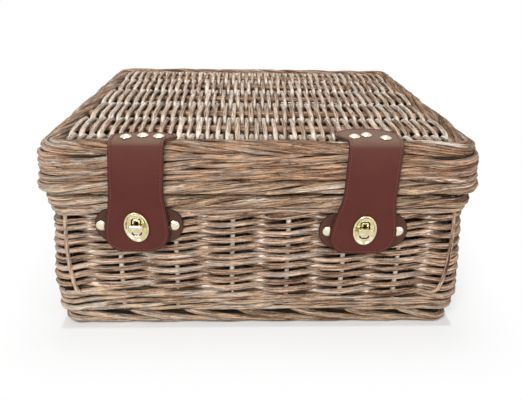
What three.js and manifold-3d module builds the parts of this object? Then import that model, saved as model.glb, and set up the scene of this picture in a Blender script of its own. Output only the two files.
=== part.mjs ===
// A willow gift hamper: a woven rectangular body, a hinged lid, and two leather straps that
// hang from the lid and close over turn locks on the body.
//
// Sizes are in millimetres. X runs across the front, Y from the front to the back, Z up.
// "Out" is a distance outward from the outer face of the body's woven wall, and it is
// negative inside that face. "Front" of a piece on the front wall is its larger "out".

import * as THREE from 'three';
import { mergeVertices } from 'three/addons/utils/BufferGeometryUtils.js';
import Module from 'manifold-3d';

// Gap between two pieces that touch on the real hamper
const GAP = 0.3;

// Body
const BODY_WIDTH = 400;
const BODY_DEPTH = 340;
const CORNER_RADIUS = 18;
const WALL_THICKNESS = 10;
const FOOT_HEIGHT = 19;
const FOOT_OUT = -1;
const FOOT_THICKNESS = 16;
const FOOT_ROUNDING = 5;
const WALE_ROWS = 3;
const WALE_ROW_HEIGHT = 7.4;
const WALE_OUT = 1.5;
const WALE_THICKNESS = 13;
const ROW_GROOVE = 1.2;
const WEAVE_HEIGHT = 90.2;
const WEAVE_ROWS = 10;
const WEAVE_HOLLOW = 2;
const WEAVE_GROOVE = 3.2;
const WEAVE_SHALLOW_GROOVE = 1;
const RIM_ROD_DIAMETER = 16;
const RIM_OUT = 4;
const BASE_THICKNESS = 8;
const BASE_STICKS = 6;
const PANEL_SAG = 1.2;

// Upright rods inside the wall
const STAKE_DIAMETER = 4.5;
const STAKE_SWELL = 1.2;
const STAKES_ACROSS = 6;
const STAKES_ALONG = 5;
const CORNER_POST_DIAMETER = 6;
const ROD_CLEARANCE = 0.3;

// Lid
const SEAM_GAP = 0.4;
const LID_ROD_DIAMETER = 15;
const LID_RIM_OUT = 7;
const LID_WALL_ROWS = 3;
const LID_ROW_HEIGHT = 7;
const LID_WALL_THICKNESS = 10;
const LID_WALL_FOOT_OUT = 4;
const LID_WALL_HEAD_OUT = 1.5;
const LID_BORDER_HEIGHT = 14.8;
const LID_BORDER_OUT = 2;
const LID_BORDER_THICKNESS = 18;
const LID_BORDER_ROUNDING = 5;
const LID_PANEL_THICKNESS = 12.4;
const LID_PANEL_RELIEF = 3.8;
const LID_WEAVERS = 86;
const LID_PANEL_DROP = 1;
const LID_STICKS = 5;
const LID_STICK_SPACING = 58.4;
const LID_STICK_SHIFT = 12;

// Hinge loops, which hold the lid's back rod to the body's back rod
const LOOP_THICKNESS = 3;
const LOOP_WIDTH = 10;
const LOOP_CLEARANCE = 0.4;
const LOOP_STAKES = 2;
const NOTCH_DEPTH = 7;

// Leather
const STRAP_THICKNESS = 2.4;
const STRAP_WIDTH = 50;
const ANCHOR_END_WIDTH = 61;
const STRAP_END_ROUNDING = 19;
const STRAP_FLARE_LENGTH = 46;
const FOLD_OUT = 3.2;
const ANCHOR_SIDE_SHARE = 0.45;
const TAB_THICKNESS = 2;
const TAB_WIDTH = 86;
const TAB_HEIGHT = 38.5;
const TAB_ROUNDING = 18.5;
const TAB_RIVET_SPACING = 68;
const TAB_BEND_LENGTH = 7;

// Brass
const RIVET_DIAMETER = 10.5;
const RIVET_CROWN = 2.4;
const RIVET_SHANK_DIAMETER = 4;
const LID_RIVET_DEPTH = 8;
const TAB_RIVET_DEPTH = 1.6;
const LOCK_WIDTH = 23.2;
const LOCK_HEIGHT = 31.2;
const LOCK_DISC = 1.2;
const LOCK_RIM_WIDTH = 3;
const LOCK_RIM_HEIGHT = 2.4;
const SLOT_WIDTH = 9.4;
const SLOT_HEIGHT = 18;
const SLOT_ROUNDING = 2.5;
const KNOB_LENGTH = 13.6;
const KNOB_WIDTH = 6.4;
const KNOB_THICKNESS = 3.4;
const KNOB_LIFT = 1.5;
const KNOB_NECK_DIAMETER = 3.6;
const KNOB_NECK_LENGTH = 5.7;
const BOSS_CLEARANCE = 1;
const LOCK_BASE_WIDTH = 19;
const LOCK_BASE_HEIGHT = 24;
const LOCK_BASE_THICKNESS = 1.4;

// Each strap was cut and riveted on by hand, so the two differ a little. "Drop" is a distance
// below the top of the body's rim for a lock, and below the lock's middle for a tab's middle or
// a strap's end.
const LEFT_FOLD_X = -0.28125 * BODY_WIDTH;
const LEFT_LOCK_X = -0.29 * BODY_WIDTH;
const LEFT_LOCK_DROP = 29.3;
const LEFT_TAB_DROP = 1.4;
const LEFT_END_DROP = 28;
const LEFT_END_WIDTH = 60;
const LEFT_ANCHOR_DEPTH = 24;
const LEFT_ANCHOR_SHIFT = 5;
const RIGHT_FOLD_X = 0.259 * BODY_WIDTH;
const RIGHT_LOCK_X = 0.24625 * BODY_WIDTH;
const RIGHT_LOCK_DROP = 32.8;
const RIGHT_TAB_DROP = 4.2;
const RIGHT_END_DROP = 27.5;
const RIGHT_END_WIDTH = 63.5;
const RIGHT_ANCHOR_DEPTH = 38;
const RIGHT_ANCHOR_SHIFT = -5;

// Heights that follow from the sizes above
const waleBottom = FOOT_HEIGHT + GAP;
const waleTop = waleBottom + WALE_ROWS * WALE_ROW_HEIGHT;
const weaveBottom = waleTop + GAP;
const weaveTop = weaveBottom + WEAVE_HEIGHT;
const rimZ = weaveTop + GAP + RIM_ROD_DIAMETER / 2;
const rimCentreOut = RIM_OUT - RIM_ROD_DIAMETER / 2;
const lidRimZ = rimZ + RIM_ROD_DIAMETER / 2 + SEAM_GAP + LID_ROD_DIAMETER / 2;
const lidRimCentreOut = LID_RIM_OUT - LID_ROD_DIAMETER / 2;
const lidWallBottom = lidRimZ + LID_ROD_DIAMETER / 2 + GAP;
const lidWallTop = lidWallBottom + LID_WALL_ROWS * LID_ROW_HEIGHT;
const lidBorderBottom = lidWallTop + GAP;
const lidTop = lidBorderBottom + LID_BORDER_HEIGHT;
const lidPanelTop = lidTop - LID_PANEL_DROP;
const seamZ = rimZ + RIM_ROD_DIAMETER / 2;

// A rivet is given by its place across the strap and its distance behind the lid's front edge
const STRAPS = [
  {
    side: 'left',
    foldX: LEFT_FOLD_X,
    lockX: LEFT_LOCK_X,
    lockZ: seamZ - LEFT_LOCK_DROP,
    tabZ: seamZ - LEFT_LOCK_DROP - LEFT_TAB_DROP,
    endZ: seamZ - LEFT_LOCK_DROP - LEFT_END_DROP,
    endWidth: LEFT_END_WIDTH,
    anchorDepth: LEFT_ANCHOR_DEPTH,
    anchorShift: LEFT_ANCHOR_SHIFT,
    rivets: [[-10.2, 6.8], [4.3, 10.8], [19, 8.6]],
  },
  {
    side: 'right',
    foldX: RIGHT_FOLD_X,
    lockX: RIGHT_LOCK_X,
    lockZ: seamZ - RIGHT_LOCK_DROP,
    tabZ: seamZ - RIGHT_LOCK_DROP - RIGHT_TAB_DROP,
    endZ: seamZ - RIGHT_LOCK_DROP - RIGHT_END_DROP,
    endWidth: RIGHT_END_WIDTH,
    anchorDepth: RIGHT_ANCHOR_DEPTH,
    anchorShift: RIGHT_ANCHOR_SHIFT,
    rivets: [[-18.2, 11], [-6.3, 15.4], [10, 7.4]],
  },
];

// Layers on the front wall, counted outward
const tabInnerOut = STAKE_SWELL + GAP;
const tabOuterOut = tabInnerOut + TAB_THICKNESS;
const lockBaseOut = tabOuterOut + GAP;
const strapInnerOut = lockBaseOut + LOCK_BASE_THICKNESS + 2 * GAP;
const strapOuterOut = strapInnerOut + STRAP_THICKNESS;
const lockOut = strapOuterOut + GAP;
const knobOut = lockOut + LOCK_DISC + KNOB_LIFT;

// The fold of a strap over the lid's front edge is the axis that its tail swings on
const foldZ = lidTop + GAP + STRAP_THICKNESS / 2;
const anchorTop = lidTop + GAP + STRAP_THICKNESS;

const WILLOW_TAN = 0xb08f72;
const WILLOW_GREY = 0x9c8a78;
const WILLOW_BROWN = 0x8f6a4e;
const LEATHER = 0x73403a;
const BRASS = 0xd9c07a;

const wasm = await Module();
wasm.setup();

// Solids and booleans

function toSolid(geometry) {
  const bare = geometry.clone();
  bare.deleteAttribute('normal');
  bare.deleteAttribute('uv');
  const merged = mergeVertices(bare, 1e-4);
  return new wasm.Manifold(new wasm.Mesh({
    numProp: 3,
    vertProperties: new Float32Array(merged.attributes.position.array),
    triVerts: new Uint32Array(merged.index.array),
  }));
}

function toGeometry(solid) {
  const mesh = solid.getMesh();
  const geometry = new THREE.BufferGeometry();
  geometry.setAttribute('position', new THREE.BufferAttribute(mesh.vertProperties.slice(), 3));
  geometry.setIndex(new THREE.BufferAttribute(mesh.triVerts.slice(), 1));
  return geometry;
}

function cutFrom(geometry, tools) {
  let solid = toSolid(geometry);
  for (const tool of tools) {
    solid = solid.subtract(toSolid(tool));
  }
  return toGeometry(solid);
}

function joinTo(geometry, others) {
  let solid = toSolid(geometry);
  for (const other of others) {
    solid = solid.add(toSolid(other));
  }
  return toGeometry(solid);
}

function common(first, second) {
  return toGeometry(toSolid(first).intersect(toSolid(second)));
}

// Placing geometry

function moved(geometry, x, y, z) {
  return geometry.translate(x, y, z);
}

function frontY(out) {
  return -(BODY_DEPTH / 2 + out);
}

function backY(out) {
  return BODY_DEPTH / 2 + out;
}

// A shape drawn in Y and Z, made as wide as the given width about the middle plane of X
function acrossX(shape, width) {
  const options = { depth: width, bevelEnabled: false, curveSegments: 8 };
  const geometry = new THREE.ExtrudeGeometry(shape, options);
  const turn = new THREE.Matrix4().makeBasis(
    new THREE.Vector3(0, 1, 0),
    new THREE.Vector3(0, 0, 1),
    new THREE.Vector3(1, 0, 0),
  );
  return geometry.applyMatrix4(turn).translate(-width / 2, 0, 0);
}

// A shape drawn in X and Z that starts at one distance out of the front wall and ends at another
function alongFront(shape, fromOut, toOut, curveSegments = 8) {
  const options = { depth: toOut - fromOut, bevelEnabled: false, curveSegments };
  const geometry = new THREE.ExtrudeGeometry(shape, options);
  return geometry.rotateX(Math.PI / 2).translate(0, frontY(fromOut), 0);
}

function upright(shape, bottom, height) {
  const options = { depth: height, bevelEnabled: false, curveSegments: 6 };
  const geometry = new THREE.ExtrudeGeometry(shape, options);
  return geometry.translate(0, 0, bottom);
}

function rod(diameter, bottom, top, sides = 8) {
  const geometry = new THREE.CylinderGeometry(diameter / 2, diameter / 2, top - bottom, sides);
  return geometry.rotateX(Math.PI / 2).translate(0, 0, (bottom + top) / 2);
}

function frontRod(diameter, fromOut, toOut, sides = 12) {
  const geometry = new THREE.CylinderGeometry(diameter / 2, diameter / 2, toOut - fromOut, sides);
  return geometry.translate(0, frontY((fromOut + toOut) / 2), 0);
}

// Outlines

function polygon(points) {
  return new THREE.Shape(points.map(([u, v]) => new THREE.Vector2(u, v)));
}

function roundedRectangle(width, height, radius) {
  const u = width / 2;
  const v = height / 2;
  const r = Math.min(radius, u - 0.01, v - 0.01);
  const shape = new THREE.Shape();
  shape.absarc(u - r, v - r, r, 0, Math.PI / 2);
  shape.absarc(r - u, v - r, r, Math.PI / 2, Math.PI);
  shape.absarc(r - u, r - v, r, Math.PI, 1.5 * Math.PI);
  shape.absarc(u - r, r - v, r, 1.5 * Math.PI, 2 * Math.PI);
  shape.closePath();
  return shape;
}

function ellipse(width, height) {
  const shape = new THREE.Shape();
  shape.absellipse(0, 0, width / 2, height / 2, 0, 2 * Math.PI);
  return shape;
}

function arcPoints(u, v, radius, from, to, steps) {
  const points = [];
  for (let i = 0; i <= steps; i += 1) {
    const angle = from + (to - from) * i / steps;
    points.push([u + radius * Math.cos(angle), v + radius * Math.sin(angle)]);
  }
  return points;
}

function planOutline(out) {
  return roundedRectangle(BODY_WIDTH + 2 * out, BODY_DEPTH + 2 * out, CORNER_RADIUS + out);
}

// Joins closed outlines of [out, z] points, one at each station round the hamper, into a ring
function ringThrough(stations, profiles) {
  const positions = [];
  stations.forEach(({ x, y, angle }, i) => {
    for (const [out, z] of profiles[i]) {
      const reach = CORNER_RADIUS + out;
      positions.push(x + reach * Math.cos(angle), y + reach * Math.sin(angle), z);
    }
  });
  const index = [];
  const count = profiles[0].length;
  for (let i = 0; i < stations.length; i += 1) {
    const here = i * count;
    const next = (i + 1) % stations.length * count;
    for (let j = 0; j < count; j += 1) {
      const k = (j + 1) % count;
      index.push(here + j, next + j, next + k);
      index.push(here + j, next + k, here + k);
    }
  }
  const geometry = new THREE.BufferGeometry();
  geometry.setAttribute('position', new THREE.Float32BufferAttribute(positions, 3));
  geometry.setIndex(index);
  return geometry;
}

// The middle of a corner's rounding, with corners counted from the back right one to the left
function cornerCentre(corner) {
  const middle = (corner + 0.5) * Math.PI / 2;
  return {
    x: Math.sign(Math.cos(middle)) * (BODY_WIDTH / 2 - CORNER_RADIUS),
    y: Math.sign(Math.sin(middle)) * (BODY_DEPTH / 2 - CORNER_RADIUS),
    middle,
  };
}

// A ring with the same profile all the way round, parallel to the wall
function ring(profile, cornerSteps = 3) {
  const stations = [];
  for (let corner = 0; corner < 4; corner += 1) {
    const { x, y } = cornerCentre(corner);
    for (let i = 0; i <= cornerSteps; i += 1) {
      stations.push({ x, y, angle: (corner + i / cornerSteps) * Math.PI / 2 });
    }
  }
  return ringThrough(stations, stations.map(() => profile));
}

// Profiles run counter-clockwise, with "out" to the right and z up

function rodProfile(centreOut, centreZ, diameter, sides = 12) {
  return arcPoints(centreOut, centreZ, diameter / 2, 0, 2 * Math.PI, sides).slice(0, sides);
}

// Rows of weaving, one above the other, with a groove between rows on both faces
function rowsProfile(bottom, rows, rowHeight, thickness, footOut, headOut) {
  const outer = [];
  const inner = [];
  for (let row = 0; row < rows; row += 1) {
    for (const [share, groove] of [[0, ROW_GROOVE], [0.25, 0], [0.75, 0]]) {
      const rise = (row + share) / rows;
      const face = footOut + (headOut - footOut) * rise;
      const z = bottom + rise * rows * rowHeight;
      outer.push([face - groove, z]);
      inner.push([face - thickness + groove, z]);
    }
  }
  outer.push([headOut - ROW_GROOVE, bottom + rows * rowHeight]);
  inner.push([headOut - thickness + ROW_GROOVE, bottom + rows * rowHeight]);
  return [...outer, ...inner.reverse()];
}

// A band with a flat bottom and flat inner face, rounded along its outer edges
function borderProfile(outerOut, thickness, bottom, height, rounding, bottomRounding) {
  const top = bottom + height;
  const innerOut = outerOut - thickness;
  return [
    [innerOut, bottom],
    ...arcPoints(outerOut - bottomRounding, bottom + bottomRounding, bottomRounding, -Math.PI / 2, 0, 2),
    ...arcPoints(outerOut - rounding, top - rounding, rounding, 0, Math.PI / 2, 3),
    [innerOut, top],
  ];
}

// Places of the upright rods, on the middle line of the wall

function stakeSpacings() {
  const cornerInset = CORNER_RADIUS * (1 - Math.SQRT1_2) + WALL_THICKNESS / 2 * Math.SQRT1_2;
  return {
    across: (BODY_WIDTH - 2 * cornerInset) / (STAKES_ACROSS + 1),
    along: (BODY_DEPTH - 2 * cornerInset) / (STAKES_ALONG + 1),
  };
}

function stakePlaces() {
  const line = WALL_THICKNESS / 2;
  const { across, along } = stakeSpacings();
  const places = [];
  for (let i = 0; i < STAKES_ACROSS; i += 1) {
    const x = across * (i - (STAKES_ACROSS - 1) / 2);
    places.push({ name: `stake_front_${i + 1}`, x, y: frontY(-line) });
    places.push({ name: `stake_back_${i + 1}`, x, y: backY(-line) });
  }
  for (let i = 0; i < STAKES_ALONG; i += 1) {
    const y = along * (i - (STAKES_ALONG - 1) / 2);
    places.push({ name: `stake_left_${i + 1}`, x: line - BODY_WIDTH / 2, y });
    places.push({ name: `stake_right_${i + 1}`, x: BODY_WIDTH / 2 - line, y });
  }
  return places;
}

function cornerPlaces() {
  const reach = (CORNER_RADIUS - WALL_THICKNESS / 2) * Math.SQRT1_2;
  const x = BODY_WIDTH / 2 - CORNER_RADIUS + reach;
  const y = BODY_DEPTH / 2 - CORNER_RADIUS + reach;
  return [
    { name: 'corner_post_front_left', x: -x, y: -y },
    { name: 'corner_post_front_right', x, y: -y },
    { name: 'corner_post_back_left', x: -x, y },
    { name: 'corner_post_back_right', x, y },
  ];
}

// Bores for the upright rods through a part of the wall between two heights
function uprightBores(bottom, top) {
  const bores = [];
  for (const { x, y } of stakePlaces()) {
    bores.push(moved(rod(STAKE_DIAMETER + 2 * ROD_CLEARANCE, bottom, top, 8), x, y, 0));
  }
  for (const { x, y } of cornerPlaces()) {
    bores.push(moved(rod(CORNER_POST_DIAMETER + 2 * ROD_CLEARANCE, bottom, top, 8), x, y, 0));
  }
  return bores;
}

// Each loop stands midway between a back stake, counted from the corner, and the one before it
function loopPlaces() {
  const back = stakePlaces().filter(({ name }) => name.startsWith('stake_back'));
  const x = (back[LOOP_STAKES - 2].x + back[LOOP_STAKES - 1].x) / 2;
  return [{ side: 'left', x }, { side: 'right', x: -x }];
}

// Body

function footBorder() {
  const rounding = Math.min(FOOT_ROUNDING, FOOT_HEIGHT / 2, FOOT_THICKNESS / 2);
  return ring(borderProfile(FOOT_OUT, FOOT_THICKNESS, 0, FOOT_HEIGHT, rounding, rounding));
}

function ridgedPanel(out, top, thickness, stickPlaces) {
  const end = BODY_DEPTH / 2 + out;
  const crests = stickPlaces.filter((y) => Math.abs(y) < end);
  const heights = [];
  crests.forEach((y, i) => {
    const before = i === 0 ? -end : (crests[i - 1] + y) / 2;
    heights.push([before, top - PANEL_SAG], [y, top]);
  });
  heights.push([end, top - PANEL_SAG]);
  const underside = heights.map(([y, z]) => [y, 2 * top - thickness - z]);
  const section = polygon([...underside, ...heights.reverse()]);
  const slab = acrossX(section, BODY_WIDTH + 2 * out);
  return common(slab, upright(planOutline(out), top - thickness, thickness));
}

function basePanel() {
  const out = WALE_OUT - WALE_THICKNESS - GAP;
  const spacing = (BODY_DEPTH + 2 * out) / BASE_STICKS;
  const places = [];
  for (let i = 0; i < BASE_STICKS; i += 1) {
    places.push(spacing * (i - (BASE_STICKS - 1) / 2));
  }
  return ridgedPanel(out, FOOT_HEIGHT + GAP + BASE_THICKNESS, BASE_THICKNESS, places);
}

function upsetWale() {
  const profile = rowsProfile(waleBottom, WALE_ROWS, WALE_ROW_HEIGHT, WALE_THICKNESS, WALE_OUT, WALE_OUT);
  return cutFrom(ring(profile), uprightBores(waleBottom - 1, waleTop + 1));
}

// Stations for the woven wall. The weave swells to 1 in front of each upright rod and sinks to
// 0 midway between two.
function weaveStations() {
  const steps = 4;
  const { across, along } = stakeSpacings();
  const stations = [];
  for (let corner = 0; corner < 4; corner += 1) {
    const { x, y, middle } = cornerCentre(corner);
    stations.push({ x, y, angle: middle, swell: 1 });
    const alongX = corner % 2 === 0;
    const spacing = alongX ? across : along;
    const spaces = (alongX ? STAKES_ACROSS : STAKES_ALONG) + 1;
    const half = spacing * spaces / 2;
    const reach = Math.abs(alongX ? x : y);
    const places = [-reach, reach];
    for (let i = 1; i < steps * spaces; i += 1) {
      const place = spacing * i / steps - half;
      if (Math.abs(place) < reach) {
        places.push(place);
      }
    }
    const direction = corner < 2 ? -1 : 1;
    places.sort((a, b) => direction * (a - b));
    for (const place of places) {
      stations.push({
        x: alongX ? place : x,
        y: alongX ? y : place,
        angle: (corner + 1) * Math.PI / 2,
        swell: 0.5 + 0.5 * Math.cos(2 * Math.PI * (place + half) / spacing),
      });
    }
  }
  return stations;
}

// Rows of paired rods: thick and parted in front of an upright rod, thin and close between two
function weaveProfile({ swell }) {
  const crest = STAKE_SWELL * swell - WEAVE_HOLLOW * (1 - swell);
  const valley = crest - WEAVE_GROOVE * swell - WEAVE_SHALLOW_GROOVE * (1 - swell);
  const rowHeight = WEAVE_HEIGHT / WEAVE_ROWS;
  const profile = [[valley, weaveBottom]];
  for (let row = 0; row < WEAVE_ROWS; row += 1) {
    const bottom = weaveBottom + row * rowHeight;
    profile.push([crest, bottom + rowHeight / 2], [valley, bottom + rowHeight]);
  }
  profile.push([-WALL_THICKNESS - crest, weaveTop], [-WALL_THICKNESS - crest, weaveBottom]);
  return profile;
}

function wallWeave() {
  const stations = weaveStations();
  const wall = ringThrough(stations, stations.map(weaveProfile));
  const notches = loopPlaces().map(({ x }) => {
    const box = new THREE.BoxGeometry(LOOP_WIDTH + 2 * GAP + 1, 4 * WALL_THICKNESS, 2 * NOTCH_DEPTH);
    return moved(box, x, backY(-WALL_THICKNESS / 2), weaveTop);
  });
  const rivetHoles = tabRivetPlaces().map(({ x, z }) => (
    moved(frontRod(RIVET_SHANK_DIAMETER + 2 * GAP, -TAB_RIVET_DEPTH - GAP, tabInnerOut, 10), x, 0, z)
  ));
  return cutFrom(wall, [
    ...uprightBores(weaveBottom - 1, weaveTop + 1),
    ...notches,
    ...rivetHoles,
  ]);
}

function rimBorder() {
  return ring(rodProfile(rimCentreOut, rimZ, RIM_ROD_DIAMETER));
}

// Lid

function lidRimBorder() {
  return ring(rodProfile(lidRimCentreOut, lidRimZ, LID_ROD_DIAMETER));
}

function lidWall() {
  const profile = rowsProfile(
    lidWallBottom,
    LID_WALL_ROWS,
    LID_ROW_HEIGHT,
    LID_WALL_THICKNESS,
    LID_WALL_FOOT_OUT,
    LID_WALL_HEAD_OUT,
  );
  const loopTop = lidRimZ + LID_ROD_DIAMETER / 2 + LOOP_CLEARANCE + LOOP_THICKNESS;
  const notchHeight = 2 * (loopTop + GAP - lidWallBottom);
  const notches = loopPlaces().map(({ x }) => {
    const box = new THREE.BoxGeometry(LOOP_WIDTH + 2 * GAP, 4 * LID_WALL_THICKNESS, notchHeight);
    return moved(box, x, backY(0), lidWallBottom);
  });
  return cutFrom(ring(profile), notches);
}

function lidTopBorder() {
  const profile = borderProfile(
    LID_BORDER_OUT,
    LID_BORDER_THICKNESS,
    lidBorderBottom,
    LID_BORDER_HEIGHT,
    LID_BORDER_ROUNDING,
    LID_BORDER_ROUNDING / 2,
  );
  const holes = STRAPS.flatMap((strap) => lidRivetPlaces(strap)).map(({ x, y }) => (
    moved(rod(RIVET_SHANK_DIAMETER + 2 * GAP, lidTop - LID_RIVET_DEPTH - GAP, lidTop + 1, 10), x, y, 0)
  ));
  return cutFrom(ring(profile), holes);
}

// A slab whose weavers run along Y. At each stick every second weaver rises over it, the rest
// dip under it, and they change over midway between two sticks.
function wovenPanel(out, top, thickness, relief, sticks, weavers) {
  const width = BODY_WIDTH + 2 * out;
  const end = BODY_DEPTH / 2 + out;
  const spacing = sticks[1] - sticks[0];
  const plateau = 0.3;
  const columns = [-width / 2, width / 2];
  for (let i = 0; i < weavers; i += 1) {
    columns.push(width * ((i + 0.5) / weavers - 0.5));
  }
  columns.sort((a, b) => a - b);
  const rows = [-end, end];
  for (const y of sticks) {
    rows.push(y - plateau * spacing, y + plateau * spacing, y + spacing / 2);
  }
  const kept = rows.filter((y) => Math.abs(y) <= end).sort((a, b) => a - b);
  const positions = [];
  for (const x of columns) {
    const edge = Math.abs(x) > (width - width / weavers) / 2 + GAP;
    const weaver = Math.floor((x / width + 0.5) * weavers);
    for (const y of kept) {
      const swing = Math.cos(Math.PI * ((y - sticks[0]) / spacing + weaver));
      const lift = edge ? 0 : Math.max(-1, Math.min(1, swing / Math.cos(Math.PI * plateau)));
      positions.push(x, y, top - relief * (1 - Math.max(0, lift)));
      positions.push(x, y, top - thickness + relief * (1 + Math.min(0, lift)));
    }
  }
  const index = [];
  const stride = 2 * kept.length;
  const quad = (a, b, c, d) => index.push(a, b, c, a, c, d);
  for (let i = 0; i < columns.length - 1; i += 1) {
    for (let j = 0; j < kept.length - 1; j += 1) {
      const here = i * stride + 2 * j;
      quad(here, here + stride, here + stride + 2, here + 2);
      quad(here + 1, here + 3, here + stride + 3, here + stride + 1);
    }
    const near = i * stride;
    const far = near + stride - 2;
    quad(near, near + 1, near + stride + 1, near + stride);
    quad(far, far + stride, far + stride + 1, far + 1);
  }
  for (let j = 0; j < kept.length - 1; j += 1) {
    const left = 2 * j;
    const right = (columns.length - 1) * stride + 2 * j;
    quad(left, left + 2, left + 3, left + 1);
    quad(right, right + 1, right + 3, right + 2);
  }
  const slab = new THREE.BufferGeometry();
  slab.setAttribute('position', new THREE.Float32BufferAttribute(positions, 3));
  slab.setIndex(index);
  return common(slab, upright(planOutline(out), top - thickness - 1, thickness + 2));
}

function lidPanel() {
  const out = LID_BORDER_OUT - LID_BORDER_THICKNESS - GAP;
  const places = [];
  for (let i = 0; i < LID_STICKS; i += 1) {
    places.push(LID_STICK_SHIFT + LID_STICK_SPACING * (i - (LID_STICKS - 1) / 2));
  }
  return wovenPanel(out, lidPanelTop, LID_PANEL_THICKNESS, LID_PANEL_RELIEF, places, LID_WEAVERS);
}

// The outline round two circles, drawn in Y and Z
function aroundTwoRods(path, lower, lowerRadius, upper, upperRadius) {
  const heading = Math.atan2(upper.z - lower.z, upper.y - lower.y);
  const apart = Math.hypot(upper.z - lower.z, upper.y - lower.y);
  const spread = Math.acos((lowerRadius - upperRadius) / apart);
  path.absarc(lower.y, lower.z, lowerRadius, heading + spread, heading - spread + 2 * Math.PI);
  path.absarc(upper.y, upper.z, upperRadius, heading - spread, heading + spread);
  path.closePath();
  return path;
}

function hingeLoop() {
  const lower = { y: backY(rimCentreOut), z: rimZ };
  const upper = { y: backY(lidRimCentreOut), z: lidRimZ };
  const lowerRadius = RIM_ROD_DIAMETER / 2 + LOOP_CLEARANCE;
  const upperRadius = LID_ROD_DIAMETER / 2 + LOOP_CLEARANCE;
  const outline = aroundTwoRods(
    new THREE.Shape(),
    lower,
    lowerRadius + LOOP_THICKNESS,
    upper,
    upperRadius + LOOP_THICKNESS,
  );
  outline.holes.push(aroundTwoRods(new THREE.Path(), lower, lowerRadius, upper, upperRadius));
  return acrossX(outline, LOOP_WIDTH);
}

// Leather

// A strip of leather seen from its edge, drawn in Y and Z along a line of [out, z] points
function stripShape(line, thickness) {
  const half = thickness / 2;
  const front = [];
  const back = [];
  line.forEach(([out, z], i) => {
    const [beforeOut, beforeZ] = line[Math.max(i - 1, 0)];
    const [afterOut, afterZ] = line[Math.min(i + 1, line.length - 1)];
    const run = new THREE.Vector2(afterOut - beforeOut, afterZ - beforeZ).normalize();
    front.push([frontY(out - run.y * half), z + run.x * half]);
    back.push([frontY(out + run.y * half), z - run.x * half]);
  });
  return { front, back };
}

// Seen from above: as wide as the fold at its front, wider and rounded behind, and shifted sideways
function strapAnchor(strap) {
  const half = STRAP_WIDTH / 2;
  const endHalf = ANCHOR_END_WIDTH / 2;
  const front = frontY(FOLD_OUT - STRAP_THICKNESS / 2 - GAP);
  const back = frontY(LID_BORDER_OUT) + strap.anchorDepth;
  const side = front + ANCHOR_SIDE_SHARE * (back - front);
  const middle = (front + side) / 2;
  const outline = new THREE.Shape();
  outline.moveTo(-half, front);
  outline.lineTo(half, front);
  const right = strap.anchorShift + endHalf;
  const left = strap.anchorShift - endHalf;
  outline.bezierCurveTo(half, middle, right, middle, right, side);
  outline.absellipse(strap.anchorShift, side, endHalf, back - side, 0, Math.PI);
  outline.bezierCurveTo(left, middle, -half, middle, -half, front);
  outline.closePath();
  const leather = moved(upright(outline, lidTop + GAP, STRAP_THICKNESS), strap.foldX, 0, 0);
  const holes = lidRivetPlaces(strap).map(({ x, y }) => (
    moved(rod(RIVET_SHANK_DIAMETER + 2 * GAP, lidTop, anchorTop + 1, 10), x, y, 0)
  ));
  return cutFrom(leather, holes);
}

// Seen from the front: straight from the fold, wider from the lid's rim down, round at its end
function tailOutline(strap) {
  const half = STRAP_WIDTH / 2;
  const endHalf = strap.endWidth / 2;
  const flareZ = strap.endZ + STRAP_END_ROUNDING + STRAP_FLARE_LENGTH;
  const shoulderZ = strap.endZ + STRAP_END_ROUNDING;
  const middleZ = (flareZ + shoulderZ) / 2;
  const top = foldZ + STRAP_THICKNESS;
  const outline = new THREE.Shape();
  outline.moveTo(half, top);
  outline.lineTo(-half, top);
  outline.lineTo(-half, flareZ);
  outline.bezierCurveTo(-half, middleZ, -endHalf, middleZ, -endHalf, shoulderZ);
  outline.absellipse(
    STRAP_END_ROUNDING - endHalf,
    shoulderZ,
    STRAP_END_ROUNDING,
    STRAP_END_ROUNDING,
    Math.PI,
    1.5 * Math.PI,
  );
  outline.absellipse(
    endHalf - STRAP_END_ROUNDING,
    shoulderZ,
    STRAP_END_ROUNDING,
    STRAP_END_ROUNDING,
    1.5 * Math.PI,
    2 * Math.PI,
  );
  outline.bezierCurveTo(endHalf, middleZ, half, middleZ, half, flareZ);
  outline.closePath();
  return outline;
}

function strapTail(strap) {
  const half = STRAP_THICKNESS / 2;
  const rimLineOut = LID_RIM_OUT + 1.5 * GAP + half;
  const hangOut = strapInnerOut + half;
  const line = [
    [FOLD_OUT, foldZ],
    [rimLineOut, lidRimZ + LID_ROD_DIAMETER / 4],
    [rimLineOut, seamZ],
    [hangOut, strap.lockZ + LOCK_HEIGHT / 2],
    [hangOut, strap.endZ],
  ];
  const { front, back } = stripShape(line, STRAP_THICKNESS);
  const foldY = frontY(FOLD_OUT);
  const start = Math.atan2(back[0][1] - foldZ, back[0][0] - foldY);
  const knuckle = arcPoints(foldY, foldZ, half, start, start - Math.PI, 6).slice(1, -1);
  const section = polygon([...front.reverse(), ...knuckle.reverse(), ...back]);
  const strip = acrossX(section, 2 * strap.endWidth);
  const cutter = alongFront(tailOutline(strap), 0, 2 * LID_RIM_OUT + 4 * STRAP_THICKNESS);
  const lean = (strap.lockX - strap.foldX) / (foldZ - strap.lockZ);
  const shear = new THREE.Matrix4().set(
    1, 0, -lean, strap.foldX + lean * foldZ,
    0, 1, 0, 0,
    0, 0, 1, 0,
    0, 0, 0, 1,
  );
  const leather = common(moved(strip, strap.lockX, 0, 0), cutter.applyMatrix4(shear));
  const slot = roundedRectangle(
    SLOT_WIDTH + 2 * BOSS_CLEARANCE,
    SLOT_HEIGHT + 2 * BOSS_CLEARANCE,
    SLOT_ROUNDING + BOSS_CLEARANCE,
  );
  const hole = moved(alongFront(slot, 0, 2 * strapOuterOut), strap.lockX, 0, strap.lockZ);
  return cutFrom(leather, [hole]);
}

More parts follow.
